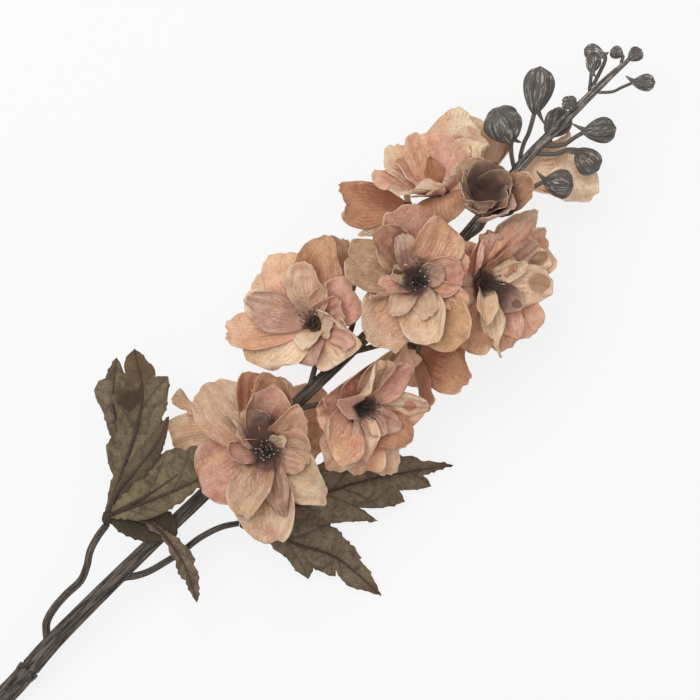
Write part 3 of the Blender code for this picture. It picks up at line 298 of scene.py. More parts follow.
PETIOLES = {
    "left": ((98, 1.0, 15.5), (101, 5.0, 17), (105, 8.5, 19), (112, 10.4, 22), (121, 10.9, 25.5),
             (130, 10.6, 29), (137, 13.2, 32), (143, 16.8, 34.5), (150, 19.0, 35.8)),
    "right": ((143, -1.0, 22), (148, -5.2, 21.5), (154, -8.2, 20.5), (162, -10.4, 19),
              (170, -12.2, 17.5), (180, -13.6, 16), (190, -17.0, 14.8)),
}
PETIOLE_RADII = {"left": (1.9, 1.6), "right": (1.7, 1.35)}
LEAF_HUBS = {
    "leaf_left": ((159.2, 22.0, 37.3), (0.75, 0.6, 0.25)),
    "leaf_right": ((199.0, -24.2, 13.4), (0.6, -0.8, -0.1)),
}
LEAF_HUB_LENGTH, LEAF_HUB_RADIUS = 6.0 * MM, 2.3 * MM


class Lobe(NamedTuple):
    """One lobe of a cut leaf, in millimetres. Its midrib is x, y, height, and its margins (along, out)."""

    name: str
    midrib: tuple
    left: tuple
    right: tuple
    fold: float
    tilt: float
    wave: float


LEAVES = {
    "leaf_left": (
        Lobe("upright",
             ((160, 22.5, 37), (172, 28, 39), (186, 35, 41), (198, 41, 43), (208, 48, 44.5),
              (213.5, 54, 45), (217, 60, 44), (221, 66, 42)),
             ((6, 1.5), (18, 3.5), (29, 6.5), (37, 7.5), (47, 9.5), (55, 13.5), (58, 8.5), (66.5, 9.5),
              (67, 6), (71.5, 5.5)),
             ((9, -3.5), (25, -7), (33, -6.5), (40, -9), (47.5, -10), (56, -11.5), (62.5, -12), (63, -6.5),
              (65.5, -7), (70.5, -4.5)),
             0.10, 0.0, 0.8),
        Lobe("behind",
             ((160, 23, 36.5), (168, 27, 36.5), (177, 31.5, 36), (184, 38, 36), (191, 47, 37),
              (198, 57, 38.5), (212.5, 69, 40)),
             ((5, 1.5), (17, 2.5), (31, 6.5), (36, 3.5), (46, 5), (54, 8), (60, 7), (61.5, 4)),
             ((8, -1), (21, -3.5), (29, -6), (37, -7), (42.5, -8.5), (54, -8), (58.5, -6), (65, -3.5)),
             -0.12, 0.1, 0.6),
        Lobe("folded",
             ((160, 22.5, 38), (171.5, 26.5, 41.5), (182, 27.5, 44), (193, 28.5, 46), (201, 30, 47),
              (211, 34, 47)),
             ((6.5, 1), (17, 2.5), (27, 4.5), (34, 4.5), (41.5, 3.5), (48, 2.2)),
             ((8, -2.5), (19, -4.5), (27.5, -4), (34, -4.5), (40, -3.2), (45, -2.2)),
             -0.5, 0.0, 0.3),
        Lobe("sideways",
             ((160, 22.5, 38), (168.5, 18.5, 40), (176, 15, 41), (190, 9, 42), (203, 4.5, 42.5),
              (214, 1.5, 42)),
             ((5, 3.5), (13, 7), (20, 12), (31, 15.5), (36.5, 17.5), (43, 15.5), (44, 13.5), (47.5, 14.5),
              (51, 12.5), (57, 9)),
             ((5.5, -3), (10.5, -6), (17.5, -7.5), (23, -7.5), (30.5, -6), (35.5, -5), (41.5, -3.2),
              (45.5, -3.5), (50.5, -3), (54, -2)),
             0.10, 0.0, 0.7),
        Lobe("crossing",
             ((160, 22.5, 36.5), (163, 18, 36), (165.5, 12.5, 35.2), (168.5, 5, 34.4), (171, -1.5, 33.6),
              (174.5, -5.5, 32.5)),
             ((4, 3), (12, 3.5), (19.5, 7), (29, 11), (31, 7)),
             ((3, -3.8), (8.5, -6), (14, -6.5), (20.5, -5), (26.5, -2.5)),
             0.06, 0.1, 0.3),
        Lobe("hanging",
             ((167.5, 13.5, 36.2), (171, 8, 36.5), (171.5, 1.5, 35.5), (171, -4, 34), (169.5, -11.5, 31.5),
              (167, -19, 29), (159.5, -33, 25)),
             ((5, 0.9), (14, 1.2), (24, 4.5), (32, 5.8), (33.5, 4), (39.5, 4.6), (41.5, 3.4)),
             ((5, -0.9), (15, -1), (21, -1.4), (27, -3), (29, -2.2), (37.5, -3.4), (39, -1.6)),
             0.08, 0.0, 0.2),
    ),
    "leaf_right": (
        Lobe("long",
             ((199.5, -24.5, 13.5), (206, -27.5, 13), (222, -34.5, 12), (237, -41, 10.5), (250, -48, 8.5),
              (263, -56.5, 6), (284, -72, 2.6)),
             ((4.5, 2.5), (21, 8), (39, 13.5), (45.5, 13.5), (57.5, 15), (71.5, 10), (75, 7.5), (80.5, 6.5),
              (83.5, 4), (92, 2)),
             ((5, -2.8), (19.5, -6), (35, -13.5), (58.5, -19), (50.5, -11), (60.5, -13.5), (73, -13),
              (71, -7.5), (86, -8), (83, -2.5)),
             0.04, 0.0, 0.6),
        Lobe("short",
             ((199.5, -24.5, 13), (202.5, -31, 11.5), (208.5, -47, 8.5), (216, -62, 5.5), (218, -76, 3.4),
              (218.5, -91, 1.6)),
             ((4.5, 3.2), (16, 8), (35.5, 14.5), (36, 12.5), (40.5, 11.5), (41, 10), (52.5, 7), (52, 5.8),
              (59.5, 5), (60, 4)),
             ((6, -1.5), (14, -5), (22.5, -7.5), (34, -13.5), (34.5, -7.8), (48, -6.8), (46, -4),
              (51.5, -6.5), (60, -5.4), (61, -4.4)),
             0.04, 0.0, 0.5),
    ),
}


class Bud(NamedTuple):
    """One bud on its stalk: stalk points, the way the bud points, its length and width, and its spur.

    A spur below 0 stands on the other side.
    """

    name: str
    stalk: tuple
    points: tuple
    length: float
    width: float
    spur: float
    stalk_radius: float = 1.0


BUDS = (
    Bud("bud_01", ((401, 6.0, 42), (406, 8.5, 45), (411, 10.5, 48), (418, 14.5, 50)),
        (0.78, 0.60, 0.15), 20, 13.5, 7),
    Bud("bud_02", ((396, 6.0, 44), (399, 9.5, 48), (402, 13.0, 51)), (0.25, 0.75, 0.55), 17, 16.5, 4),
    Bud("bud_03", ((411, 2.5, 38.0), (414, 3.0, 35.5), (417, 3.6, 34)), (0.9, 0.12, -0.35), 15, 12.0, 3),
    Bud("bud_04", ((413, -1.0, 42.5), (418, -4.0, 44.5), (424, -5.5, 47.5), (427.5, -6.5, 48.5)),
        (0.78, -0.60, 0.12), 14, 11.2, -6),
    Bud("bud_05", ((408, -1.0, 42.5), (413, -4.5, 43), (418, -7.0, 43.5), (420.5, -9.5, 43.5)),
        (0.05, -0.95, 0.0), 13, 12.0, 5),
    Bud("bud_06", ((383, -4.5, 41), (389, -6.5, 44), (395, -8.0, 46.5), (400, -9.5, 47.5)),
        (0.55, -0.75, 0.3), 13, 12.5, -5),
    Bud("bud_07", ((431.5, 4.6, 44.5), (431.9, 5.0, 44.8)), (0.15, 0.5, 0.85), 6.5, 6.8, 0, 0.8),
    Bud("bud_08", ((443.5, 5.2, 43.5), (446.5, 7.4, 45), (448.8, 9.5, 46)),
        (0.83, 0.56, 0.2), 8, 6.6, 2, 0.8),
    Bud("bud_09", ((446, 5.0, 43), (452.5, 7.2, 42), (457, 8.7, 40.8), (459.2, 10.4, 40.2)),
        (-0.44, 0.89, 0.1), 9.5, 7.0, 2, 0.9),
    Bud("bud_10", ((462.0, 3.5, 43.5), (463.6, 4.4, 43.6), (464.4, 4.9, 43.7)),
        (-0.3, 0.93, 0.15), 6, 5.8, 0, 0.7),
    Bud("bud_11", ((463.5, 2.05, 43.45), (464.9, 1.95, 43.6)), (0.95, -0.1, 0.2), 7, 6.4, 0, 0.8),
    Bud("bud_12", ((446, -0.3, 43), (450, -2.9, 43.2), (455, -4.7, 43.6), (458.8, -6.3, 44)),
        (0.72, -0.68, 0.05), 9.8, 7.4, -4, 0.7),
)
END_BUD = "bud_11"  # it sits on the stem's very end


# ------------------------------------------------------------------ what a user would change
def srgb(*levels):
    """Linear colour of 8-bit sRGB levels."""
    shares = [level / 255 for level in levels]
    return tuple(s / 12.92 if s <= 0.04045 else ((s + 0.055) / 1.055) ** 2.4 for s in shares)


def length(name, description, metres):
    """A setting in metres."""
    return FloatProperty(name=name, description=description, default=metres,
                         subtype="DISTANCE", unit="LENGTH")


def share(name, description, amount, most=1.0):
    """A setting without a unit, from 0."""
    return FloatProperty(name=name, description=description, default=amount, min=0.0, max=most)


def colour(name, description, levels):
    """A colour setting, given in 8-bit sRGB levels."""
    return FloatVectorProperty(name=name, description=description, default=srgb(*levels), size=3,
                               subtype="COLOR", min=0.0, max=1.0)


class PetalSettings(bpy.types.PropertyGroup):
    """Sizes and colours of the petals."""

    thickness: length("Thickness", "Thickness of a petal's cloth", 0.24 * MM)
    ruffle: length("Ruffle", "Height of the small waves round a petal's edge", 0.9 * MM)
    pleat: length("Pleat", "Depth of the soft folds that fan out over a petal", 0.55 * MM)
    crumple: length("Crumple", "Height of the uneven dents all over a petal", 1.0 * MM)
    rows: IntProperty(name="Rows", description="Faces along a petal", default=30, min=6, max=60)
    columns: IntProperty(name="Columns", description="Faces across a petal", default=24, min=4, max=60)
    vein_strength: share("Veins", "How dark the veins are", 0.75)
    patchiness: share("Patches", "How strongly the darker patches show", 0.85)
    throat: colour("Throat", "Colour of a petal's foot beside the stamens", (88, 60, 54))
    gold: colour("Gold", "Colour of the yellowed patches", (222, 186, 140))
    roughness: share("Roughness", "Roughness of the cloth", 0.82)


class StamenSettings(bpy.types.PropertyGroup):
    """Sizes and colours of a bloom's dark middle."""

    radius: length("Radius", "Radius of a stamen's thread", 0.16 * MM)
    thread: colour("Thread", "Colour of the threads", (50, 40, 37))
    tip: colour("Tip", "Colour of the pale anthers", (206, 198, 190))


class LeafSettings(bpy.types.PropertyGroup):
    """Sizes and colours of the leaves."""

    thickness: length("Thickness", "Thickness of a leaf's cloth", 0.5 * MM)
    spacing: length("Spacing", "Size of the faces that a leaf is cut into", 1.25 * MM)
    rib_radius: length("Rib radius", "Radius of a midrib where it leaves the hub", 1.0 * MM)
    vein_radius: length("Vein radius", "Radius of a side vein at the midrib", 0.30 * MM)
    green: colour("Olive", "Ground colour of the left leaf", (116, 105, 76))
    grey: colour("Grey", "Ground colour of the right leaf", (134, 118, 99))
    dark: colour("Shade", "Colour of the dark patches", (64, 51, 38))
    brown: colour("Brown", "Colour of the dried tips", (96, 72, 52))
    rib: colour("Rib", "Colour of the midribs", (60, 44, 37))


class BudSettings(bpy.types.PropertyGroup):
    """Sizes and colours of the buds."""

    groove: share("Groove", "Depth of the grooves between a bud's sepals, as a share of its radius", 0.20)
    skin: colour("Skin", "Colour of the buds", (94, 88, 83))
    bloom: colour("Dusting", "Colour of the pale dusting", (214, 210, 204))
    stalk: colour("Stalk", "Colour of the bud stalks", (116, 109, 102))


class StemSettings(bpy.types.PropertyGroup):
    """Sizes and colours of the stem."""

    groove: length("Groove", "Depth of the grooves along the stem", 0.32 * MM)
    dark: colour("Dark", "Colour of the grooves", (38, 31, 27))
    light: colour("Light", "Colour of the ridges", (107, 97, 88))


class StageSettings(bpy.types.PropertyGroup):
    """Floor, light and camera."""

    lens: FloatProperty(name="Lens", description="Focal length of the camera in millimetres",
                        default=135.0, min=20.0)
    key: FloatProperty(name="Key", description="Power of the large soft lamp",
                       default=14.5, min=0.0, unit="POWER")
    fill: share("Fill", "Strength of the light from all round", 0.50, 4.0)
    glow: share("Glow", "How much the floor shines by itself", 0.82, 4.0)


# ------------------------------------------------------------------ small geometry helpers
def unit(vector):
    """The vector at length 1."""
    return Vector(vector).normalized()


def rise(value, start, end):
    """0 up to start, 1 from end, smooth between them."""
    part = np.clip((value - start) / (end - start), 0.0, 1.0)
    return part * part * (3.0 - 2.0 * part)


def smooth_line(points, pieces):
    """A Catmull-Rom curve through the points, any number of values each, with pieces steps a span."""
    known = np.array(points, float)
    padded = np.vstack([2 * known[0] - known[1], known, 2 * known[-1] - known[-2]])
    line = []
    for i in range(1, len(padded) - 2):
        before, here, after, beyond = padded[i - 1 : i + 3]
        for t in np.arange(pieces) / pieces:
            line.append(
                0.5
                * (
                    2 * here
                    + (after - before) * t
                    + (2 * before - 5 * here + 4 * after - beyond) * t**2
                    + (3 * here - before - 3 * after + beyond) * t**3
                )
            )
    return np.array(line + [known[-1]])


def rumple(points, scale, seed):
    """Smooth noise from -1 to 1 at points that lie in rows of three, with features about scale long."""
    away = Vector((seed * 17.31 % 97, seed * 5.77 % 89, seed * 9.13 % 83))
    heights = [noise.noise(Vector(p) / scale + away) for p in points.reshape(-1, 3)]
    return np.array(heights).reshape(points.shape[:-1])


def bezier(start, second, third, end, marks):
    """Points of a cubic curve at the marks, which run from 0 to 1."""
    return [start * (1 - t) ** 3 + second * 3 * t * (1 - t) ** 2 + third * 3 * t * t * (1 - t) + end * t**3
            for t in marks]


def finer(path, pieces):
    """The path smoothed, with pieces steps between each two of its points."""
    return [Vector(p) for p in smooth_line([tuple(p) for p in path], pieces)]


COLOUR_VALUES = ("tint", "patch", "blot_tint")


class Skin:
    """Points, faces and per-point values of a piece, gathered from several closed shells."""

    def __init__(self):
        self.points, self.faces, self.paints, self.values = [], [], [], {}
        self.count = 0

    def add(self, points, faces, paint=0, **values):
        """Adds one shell. Each value is one number, or one for each point. A colour has three."""
        points = np.asarray(points, float).reshape(-1, 3)
        self.points.append(points)
        self.faces.extend([tuple(int(i) + self.count for i in face) for face in faces])
        self.paints.extend([paint] * len(faces))
        for name, value in values.items():
            width = 3 if name in COLOUR_VALUES else 1
            given = np.asarray(value, float)
            full = np.empty((len(points), width))
            full[:] = given.reshape(-1, width)
            self.values.setdefault(name, []).append((self.count, full))
        self.count += len(points)

    def piece(self, name, *finishes):
        """The object, riding on the body and shaded smooth, with its values as attributes."""
        mesh = bpy.data.meshes.new(name)
        mesh.from_pydata(np.vstack(self.points).tolist(), [], self.faces)
        for key, parts in self.values.items():
            width = parts[0][1].shape[1]
            full = np.zeros((self.count, width))
            for start, part in parts:
                full[start : start + len(part)] = part
            if width == 3:
                made = mesh.attributes.new(key, "FLOAT_COLOR", "POINT")
                opaque = np.hstack([full, np.ones((self.count, 1))])
                made.data.foreach_set("color", opaque.astype(np.float32).ravel())
            else:
                made = mesh.attributes.new(key, "FLOAT", "POINT")
                made.data.foreach_set("value", full.astype(np.float32).ravel())
        for finish in finishes:
            mesh.materials.append(finish)
        mesh.polygons.foreach_set("material_index", self.paints)
        mesh.shade_smooth()
        mesh.update()
        made = bpy.data.objects.new(name, mesh)
        bpy.context.scene.collection.objects.link(made)
        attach(made, BODY)
        return made


def grid_faces(rows, cols, start=0, wrap=False):
    """Faces of a grid of rows by cols points, which may close round its columns."""
    faces = []
    for i in range(rows - 1):
        for j in range(cols if wrap else cols - 1):
            k = (j + 1) % cols
            here, below = start + i * cols, start + (i + 1) * cols
            faces.append((here + j, here + k, below + k, below + j))
    return faces


def normals_of(grid):
    """Unit normals of a grid of points, from its neighbours."""
    down = np.gradient(grid, axis=0)
    over = np.gradient(grid, axis=1)
    way = np.cross(down, over)
    return way / np.maximum(np.linalg.norm(way, axis=2, keepdims=True), 1e-12)


def shell(grid, thickness):
    """(points, faces) of a closed thin shell about a grid, its two faces joined round the edge by a band."""
    rows, cols = grid.shape[:2]
    normal = normals_of(grid)
    above = grid + normal * (thickness / 2)
    below = grid - normal * (thickness / 2)
    points = np.concatenate([above.reshape(-1, 3), below.reshape(-1, 3)])
    size = rows * cols
    faces = [tuple(reversed(face)) for face in grid_faces(rows, cols)]
    faces += grid_faces(rows, cols, size)
    edge = [(0, j) for j in range(cols)] + [(i, cols - 1) for i in range(1, rows)]
    edge += [(rows - 1, j) for j in range(cols - 2, -1, -1)] + [(i, 0) for i in range(rows - 2, 0, -1)]
    ring = [i * cols + j for i, j in edge]
    for a, b in zip(ring, ring[1:] + ring[:1]):
        faces.append((a, b, b + size, a + size))
    flip = shell_is_inside_out(points, faces)
    return points, [tuple(reversed(face)) for face in faces] if flip else faces


def shell_is_inside_out(points, faces):
    """Whether the faces of a closed shell look inward, from the sign of its volume."""
    volume = 0.0
    for face in faces:
        first = points[face[0]]
        for b, c in zip(face[1:], face[2:]):
            volume += first @ np.cross(points[b], points[c])
    return volume < 0


def frames_along(path, start_facing=None, end_facing=None):
    """(way, across, upward) at each point of a path, turning as little as they can."""
    last = len(path) - 1
    ways = [(path[min(i + 1, last)] - path[max(i - 1, 0)]).normalized() for i in range(len(path))]
    if start_facing is not None:
        ways[0] = unit(start_facing)
    if end_facing is not None:
        ways[-1] = unit(end_facing)
    across = ways[0].cross(Vector((0, 0, 1)))
    across = across.normalized() if across.length > 0.1 else ways[0].orthogonal().normalized()
    frames = []
    for way in ways:
        across = (across - way * across.dot(way)).normalized()
        frames.append((way, across, across.cross(way)))
    return frames


def tube(path, radii, sides, start_facing=None, end_facing=None, shape=None):
    """(points, faces, along, turn) of a closed tube. shape(along, turn) scales its radius."""
    path = [Vector(p) for p in path]
    frames = frames_along(path, start_facing, end_facing)
    points, alongs, turns = [], [], []
    for i, (point, (_, across, upward)) in enumerate(zip(path, frames)):
        along = i / (len(path) - 1)
        for k in range(sides):
            turn = 2 * math.pi * (k + 0.5) / sides
            radius = radii[i] * (shape(along, turn) if shape else 1.0)
            points.append(point + (across * math.cos(turn) + upward * math.sin(turn)) * radius)
            alongs.append(along)
            turns.append(turn)
    faces = [tuple(reversed(face)) for face in grid_faces(len(path), sides, wrap=True)]
    faces.append(tuple(range(sides)))
    faces.append(tuple(reversed(range((len(path) - 1) * sides, len(path) * sides))))
    points = np.array(points)
    if shell_is_inside_out(points, faces):
        faces = [tuple(reversed(face)) for face in faces]
    return points, faces, np.array(alongs), np.array(turns)


def turned(heart, axis, profile, sides, shape=None):
    """(points, faces, along, turn) of a form turned round an axis. shape(along, turn) scales its radius."""
    upward = unit(axis)
    across = upward.orthogonal().normalized()
    beside = upward.cross(across)
    points, alongs, turns = [], [], []
    for height, radius in profile:
        along = (height - profile[0][0]) / (profile[-1][0] - profile[0][0])
        for k in range(sides):
            turn = 2 * math.pi * k / sides
            reach = radius * (shape(along, turn) if shape else 1.0)
            spot = (across * math.cos(turn) + beside * math.sin(turn)) * reach
            points.append(Vector(heart) + upward * height + spot)
            alongs.append(along)
            turns.append(turn)
    faces = grid_faces(len(profile), sides, wrap=True)
    faces.append(tuple(reversed(range(sides))))
    faces.append(tuple(range((len(profile) - 1) * sides, len(profile) * sides)))
    points = np.array(points)
    if shell_is_inside_out(points, faces):
        faces = [tuple(reversed(face)) for face in faces]
    return points, faces, np.array(alongs), np.array(turns)


# ------------------------------------------------------------------ the stem's line and what grows from it
def stem_path():
    """The stem's middle line and radius in metres, with the flat stretch at the height of its underside."""
    flat = math.cos(math.pi / STEM_SIDES)
    known = [(x, y, r * flat if z is None else z, r) for x, y, z, r in STEM_LINE]
    line = smooth_line(known, 4)
    line[line[:, 0] <= REST_TO / MM, 2] = known[0][2]
    line[line[:, 0] <= REST_TO / MM, 3] = known[0][3]
    return line * MM


STEM_PATH = stem_path()


def stem_at(x):
    """(point on the stem's middle line, its radius) at a distance along X, in metres."""
    line = STEM_PATH
    return (
        Vector((x, np.interp(x, line[:, 0], line[:, 1]), np.interp(x, line[:, 0], line[:, 2]))),
        float(np.interp(x, line[:, 0], line[:, 3])),
    )


def pedicel_path(bloom, marks=(0, 0.25, 0.5, 0.75, 0.92, 1)):
    """From inside the stem, out and up to the seat under the bloom's heart."""
    start, _ = stem_at(bloom.root * MM)
    heart = Vector(bloom.heart) * MM
    facing = unit(bloom.faces)
    end = heart + facing * (CORE_BOTTOM - SEAT_GAP)
    side = Vector((0, end.y - start.y, end.z - start.z)).normalized()
    reach = (end - start).length
    second = start + (Vector((0.75, 0, 0)) + side * 0.6) * reach * 0.4
    third = end - facing * reach * 0.35
    return bezier(start, second, third, end, marks)


def petiole_path(side):
    """The petiole's middle line, which ends at the seat under its leaf's hub, and the way it ends."""
    centre, facing = LEAF_HUBS["leaf_" + side]
    end = Vector(centre) * MM - unit(facing) * (LEAF_HUB_LENGTH / 2 + SEAT_GAP)
    return [Vector(p) * MM for p in PETIOLES[side]] + [end], unit(facing)


def bud_root(bud):
    """The bud's stalk in metres, its first point moved clear of the stem."""
    path = [Vector(p) * MM for p in bud.stalk]
    spot, radius = stem_at(path[0].x)
    away = path[0] - spot
    if bud.name == END_BUD:
        return path
    away.x = 0
    path[0] = spot + away.normalized() * (radius + SEAT_GAP + 0.15 * MM)
    return path


# ------------------------------------------------------------------ petals
def petal_outline(rows, cols):
    """Shares of the length and of the half width over a petal's grid: a claw, then a round blade."""
    along = np.linspace(0, 1, rows + 1)[:, None] * np.ones((1, cols + 1))
    across = np.linspace(-1, 1, cols + 1)[None, :] * np.ones((rows + 1, 1))
    low = np.clip(along * 2, 0, 1)
    high = np.clip(along * 2 - 1, 0, 1)
    swell = PETAL_CLAW + (1 - PETAL_CLAW) * np.sin(np.pi / 2 * low) ** 1.2
    reach = PETAL_WIDEST * low + (1 - PETAL_WIDEST) * high * np.sqrt(1 - across**2 / 2)
    side = across * swell * np.sqrt(1 - high**2 / 2)
    return reach, side


def bloom_axes(bloom):
    """The bloom's axis and the two directions round it. The first points towards the stem's tip."""
    axis = unit(bloom.faces)
    first = Vector((1, 0, 0)) - axis * axis.x
    if first.length < 0.35:
        first = Vector((0, 0, 1)) - axis * axis.z
    first.normalize()
    return axis, first, axis.cross(first)


def edge_wobble(reach, side, draw):
    """The outline's faults: broad bays and bulges and, on some petals, a notch at the tip."""
    ahead = np.clip(reach - PETAL_WIDEST, 0, 1) / (1 - PETAL_WIDEST)
    rim = np.clip(np.hypot(side, ahead), 0, 1)
    spin = np.arctan2(side, ahead + 1e-6)
    wobble = 0.045 * np.sin(2.6 * spin + draw.uniform(0, 6)) + 0.025 * np.sin(5 * spin + draw.uniform(0, 6))
    wobble += 0.008 * np.sin(11 * spin + draw.uniform(0, 6))
    notch = draw.choice((0.0, 0.0, 0.05, 0.09)) * np.exp(-(((spin - draw.uniform(-0.5, 0.5)) / 0.2) ** 2))
    grow = 1 + (wobble - notch) * rim**3
    past = PETAL_WIDEST + (reach - PETAL_WIDEST) * grow
    return np.where(reach > PETAL_WIDEST, past, reach), side * grow


def relief(petal, column, reach, side, settings, draw):
    """Height of the petal's folds over its plain form, in metres."""
    ahead = np.clip(reach - PETAL_WIDEST, 0, 1) / (1 - PETAL_WIDEST)
    rim = np.clip(np.hypot(side, ahead), 0, 1)
    spin = np.arctan2(side, ahead + 1e-6)
    size = min(1.0, petal.length / 0.032)
    ruffle = np.sin(draw.choice((3, 4, 5)) * spin + draw.uniform(0, 6)) * rim**3
    ruffle += 0.6 * np.sin(draw.choice((7, 9)) * spin + draw.uniform(0, 6)) * rim**5
    fan = column * draw.uniform(1.3, 2.3) + 0.3 * np.sin(reach * 5 + draw.uniform(0, 6))
    wave = 2 * math.pi * fan + draw.uniform(0, 6)
    pleat = (np.sin(wave) + 0.35 * np.sin(2.3 * wave + 1)) * rise(reach, 0.12, 0.6)
    crease = -1.5 * np.exp(-((column / 0.10) ** 2)) * (1 - reach) * rise(reach, 0.0, 0.2)
    spots = np.stack([reach * petal.length, side * petal.width / 2, np.zeros_like(reach)], axis=-1)
    seed = draw.uniform(0, 50)
    ridges = 0.45 - 1.7 * np.abs(rumple(spots, 7 * MM, seed + 7))
    dents = rumple(spots, 10 * MM, seed) + 0.5 * ridges + 0.25 * rumple(spots, 3 * MM, seed + 3)
    dents = dents * rise(reach, 0.15, 0.5)
    heavy = draw.uniform(0.6, 1.5)
    lip = draw.uniform(-1.6, 1.6) * MM * rise(rim, 0.65, 1.0)
    folds = settings.ruffle * ruffle + settings.pleat * (pleat + crease)
    return size * (folds + settings.crumple * heavy * dents + lip)


def rolled(column, reach, side, left, right):
    """(side, lift) with each margin rolled up and over, both as shares of the half width."""
    wide = np.abs(side) / np.maximum(np.abs(column), 1e-6)
    limit = np.radians(np.where(column > 0, left, right)) * rise(reach, 0.15, 0.55)
    limit = np.where(np.abs(limit) < 1e-3, 1e-3, limit)
    turn = limit * np.clip(np.abs(column) * 2 - 1, 0, 1)
    over = np.abs(column) > 0.5
    flat = np.where(over, wide * (0.5 + 0.5 * np.sin(turn) / limit), np.abs(side))
    return np.sign(column) * flat, np.where(over, wide * 0.5 * (1 - np.cos(turn)) / limit, 0.0)


def petal_grid(bloom, petal, rows, cols, settings=None, draw=None):
    """(points, column, reach, rim) of a petal's middle surface before it meets its neighbours."""
    plan = petal.plan
    axis, first, second = (np.array(v) for v in bloom_axes(bloom))
    reach, side = petal_outline(rows, cols)
    side = side * (1 - plan.point * rise(reach, PETAL_WIDEST * 0.8, 1.05))
    column = np.linspace(-1, 1, cols + 1)[None, :] * np.ones((rows + 1, 1))
    folds = 0.0
    if settings:
        reach, side = edge_wobble(reach, side, draw)
        folds = relief(petal, column, reach, side, settings, draw)
    ahead = np.clip(reach - PETAL_WIDEST, 0, 1) / (1 - PETAL_WIDEST)
    rim = np.clip(np.hypot(side, ahead), 0, 1)
    spin = np.arctan2(side, ahead + 1e-6)
    half = petal.width / 2
    lift = petal.cup * half * side**2 + petal.wave * rim**3 * np.sin(3.2 * spin + petal.turn) + folds
    lift += plan.fold * half * np.abs(side)
    side, over = rolled(column, reach, side, plan.left, plan.right)
    lift += over * half
    steps = np.linspace(0, 1, LEAN_STEPS + 1)
    lean = petal.root_lean + (petal.lean - petal.root_lean) * rise(steps, 0.0, 0.5)
    lean = np.radians(lean + petal.curl * rise(steps, 0.5, 1.0))
    middle = (lean[1:] + lean[:-1]) / 2
    outward = np.concatenate([[0], np.cumsum(np.sin(middle))]) * petal.length / LEAN_STEPS
    upward = np.concatenate([[0], np.cumsum(np.cos(middle))]) * petal.length / LEAN_STEPS
    start_lean = math.radians(petal.root_lean)
    start_out = CORE_RADIUS - ROOT_SINK * math.sin(start_lean)
    start_up = RING_HEIGHTS[petal.ring] * MM - ROOT_SINK * math.cos(start_lean)
    out = start_out + np.interp(reach, steps, outward)
    up = start_up + np.interp(reach, steps, upward)
    angle = np.interp(reach, steps, lean)
    turn = math.radians(petal.turn)
    radial = math.cos(turn) * first + math.sin(turn) * second
    beside = -math.sin(turn) * first + math.cos(turn) * second
    face = -np.cos(angle)[..., None] * radial + np.sin(angle)[..., None] * axis
    roll = math.radians(petal.roll) * np.clip(reach * 2, 0, 1)
    roll = roll + math.radians(plan.twist) * rise(reach, 0.1, 1.0)
    across = np.cos(roll)[..., None] * beside + np.sin(roll)[..., None] * face
    above = -np.sin(roll)[..., None] * beside + np.cos(roll)[..., None] * face
    heart = np.array(bloom.heart) * MM
    points = (
        heart
        + out[..., None] * radial
        + up[..., None] * axis
        + (half * side)[..., None] * across
        + lift[..., None] * above
    )
    return points, column, reach, rim


def petals_of(bloom):
    """The bloom's petals from its three rings, with seeded differences between them."""
    draw = random.Random(bloom.name)
    made = []
    for ring, listed in enumerate((bloom.outer, bloom.middle, bloom.inner)):
        for plan in listed:
            turn = plan.turn + draw.uniform(-3, 3)
            root_lean = ROOT_LEANS[ring] + draw.uniform(-4, 4)
            lean = bloom.leans[ring] + draw.uniform(-3, 3)
            curl = bloom.curls[ring] + draw.uniform(-5, 5)
            made.append(
                Petal(
                    plan=plan,
                    turn=turn,
                    length=plan.length * MM,
                    width=plan.width * MM,
                    ring=ring,
                    root_lean=root_lean,
                    lean=lean if plan.lean is None else plan.lean,
                    curl=curl if plan.curl is None else plan.curl,
                    cup=bloom.cups[ring] + draw.uniform(-0.05, 0.05),
                    roll=RING_ROLLS[ring] + draw.uniform(-3, 3),
                    wave=RING_WAVES[ring] * MM,
                )
            )
    return made


def bowl_middle(bloom):
    """The middle of the room that a bloom's petals fill."""
    return np.array(bloom.heart) * MM + np.array(unit(bloom.faces)) * BOWL_DEPTH


# How much of the way to its neighbour the first bloom of a pair may fill. It is half where not listed.
SHARES = {
    ("bloom_01", "bloom_02"): 0.64, ("bloom_01", "bloom_04"): 0.43, ("bloom_02", "bloom_04"): 0.56,
    ("bloom_03", "bloom_07"): 0.68, ("bloom_05", "bloom_07"): 0.62, ("bloom_05", "bloom_12"): 0.62,
    ("bloom_05", "bloom_13"): 0.60, ("bloom_06", "bloom_08"): 0.56,
}


def share_of(bloom, other):
    """How much of the way to the other bloom this one may fill."""
    return SHARES.get((bloom.name, other.name), 1 - SHARES.get((other.name, bloom.name), 0.5))


def neighbour_planes(bloom):
    """(normal, offset) of each plane that the bloom stays behind: one to each other bloom near it."""
    planes = []
    here = bowl_middle(bloom)
    for other in BLOOMS:
        there = bowl_middle(other)
        if other.name == bloom.name or np.linalg.norm(there - here) > NEIGHBOUR_REACH:
            continue
        normal = (there - here) * (1, 1, PLANE_TILT)
        normal /= np.linalg.norm(normal)
        border = here + (there - here) * share_of(bloom, other)
        planes.append((normal, float(normal @ border) - BLOOM_GAP / 2 - SOLID_PETAL / 2))
    return planes


def bent_clear(points, planes, floor):
    """Points pressed back to their own side of each plane and above the surface, smoothly."""
    bent = points.copy()
    for _ in range(3):
        for normal, offset in planes:
            inside = offset - bent @ normal
            pressed = np.where(inside < BEND_ZONE, BEND_ZONE * np.exp(inside / BEND_ZONE - 1), inside)
            bent += (inside - pressed)[..., None] * normal
    height = bent[..., 2] - floor
    bent[..., 2] = floor + np.where(
        height < FLOOR_ZONE, FLOOR_ZONE * np.exp(height / FLOOR_ZONE - 1), height
    )
    return bent


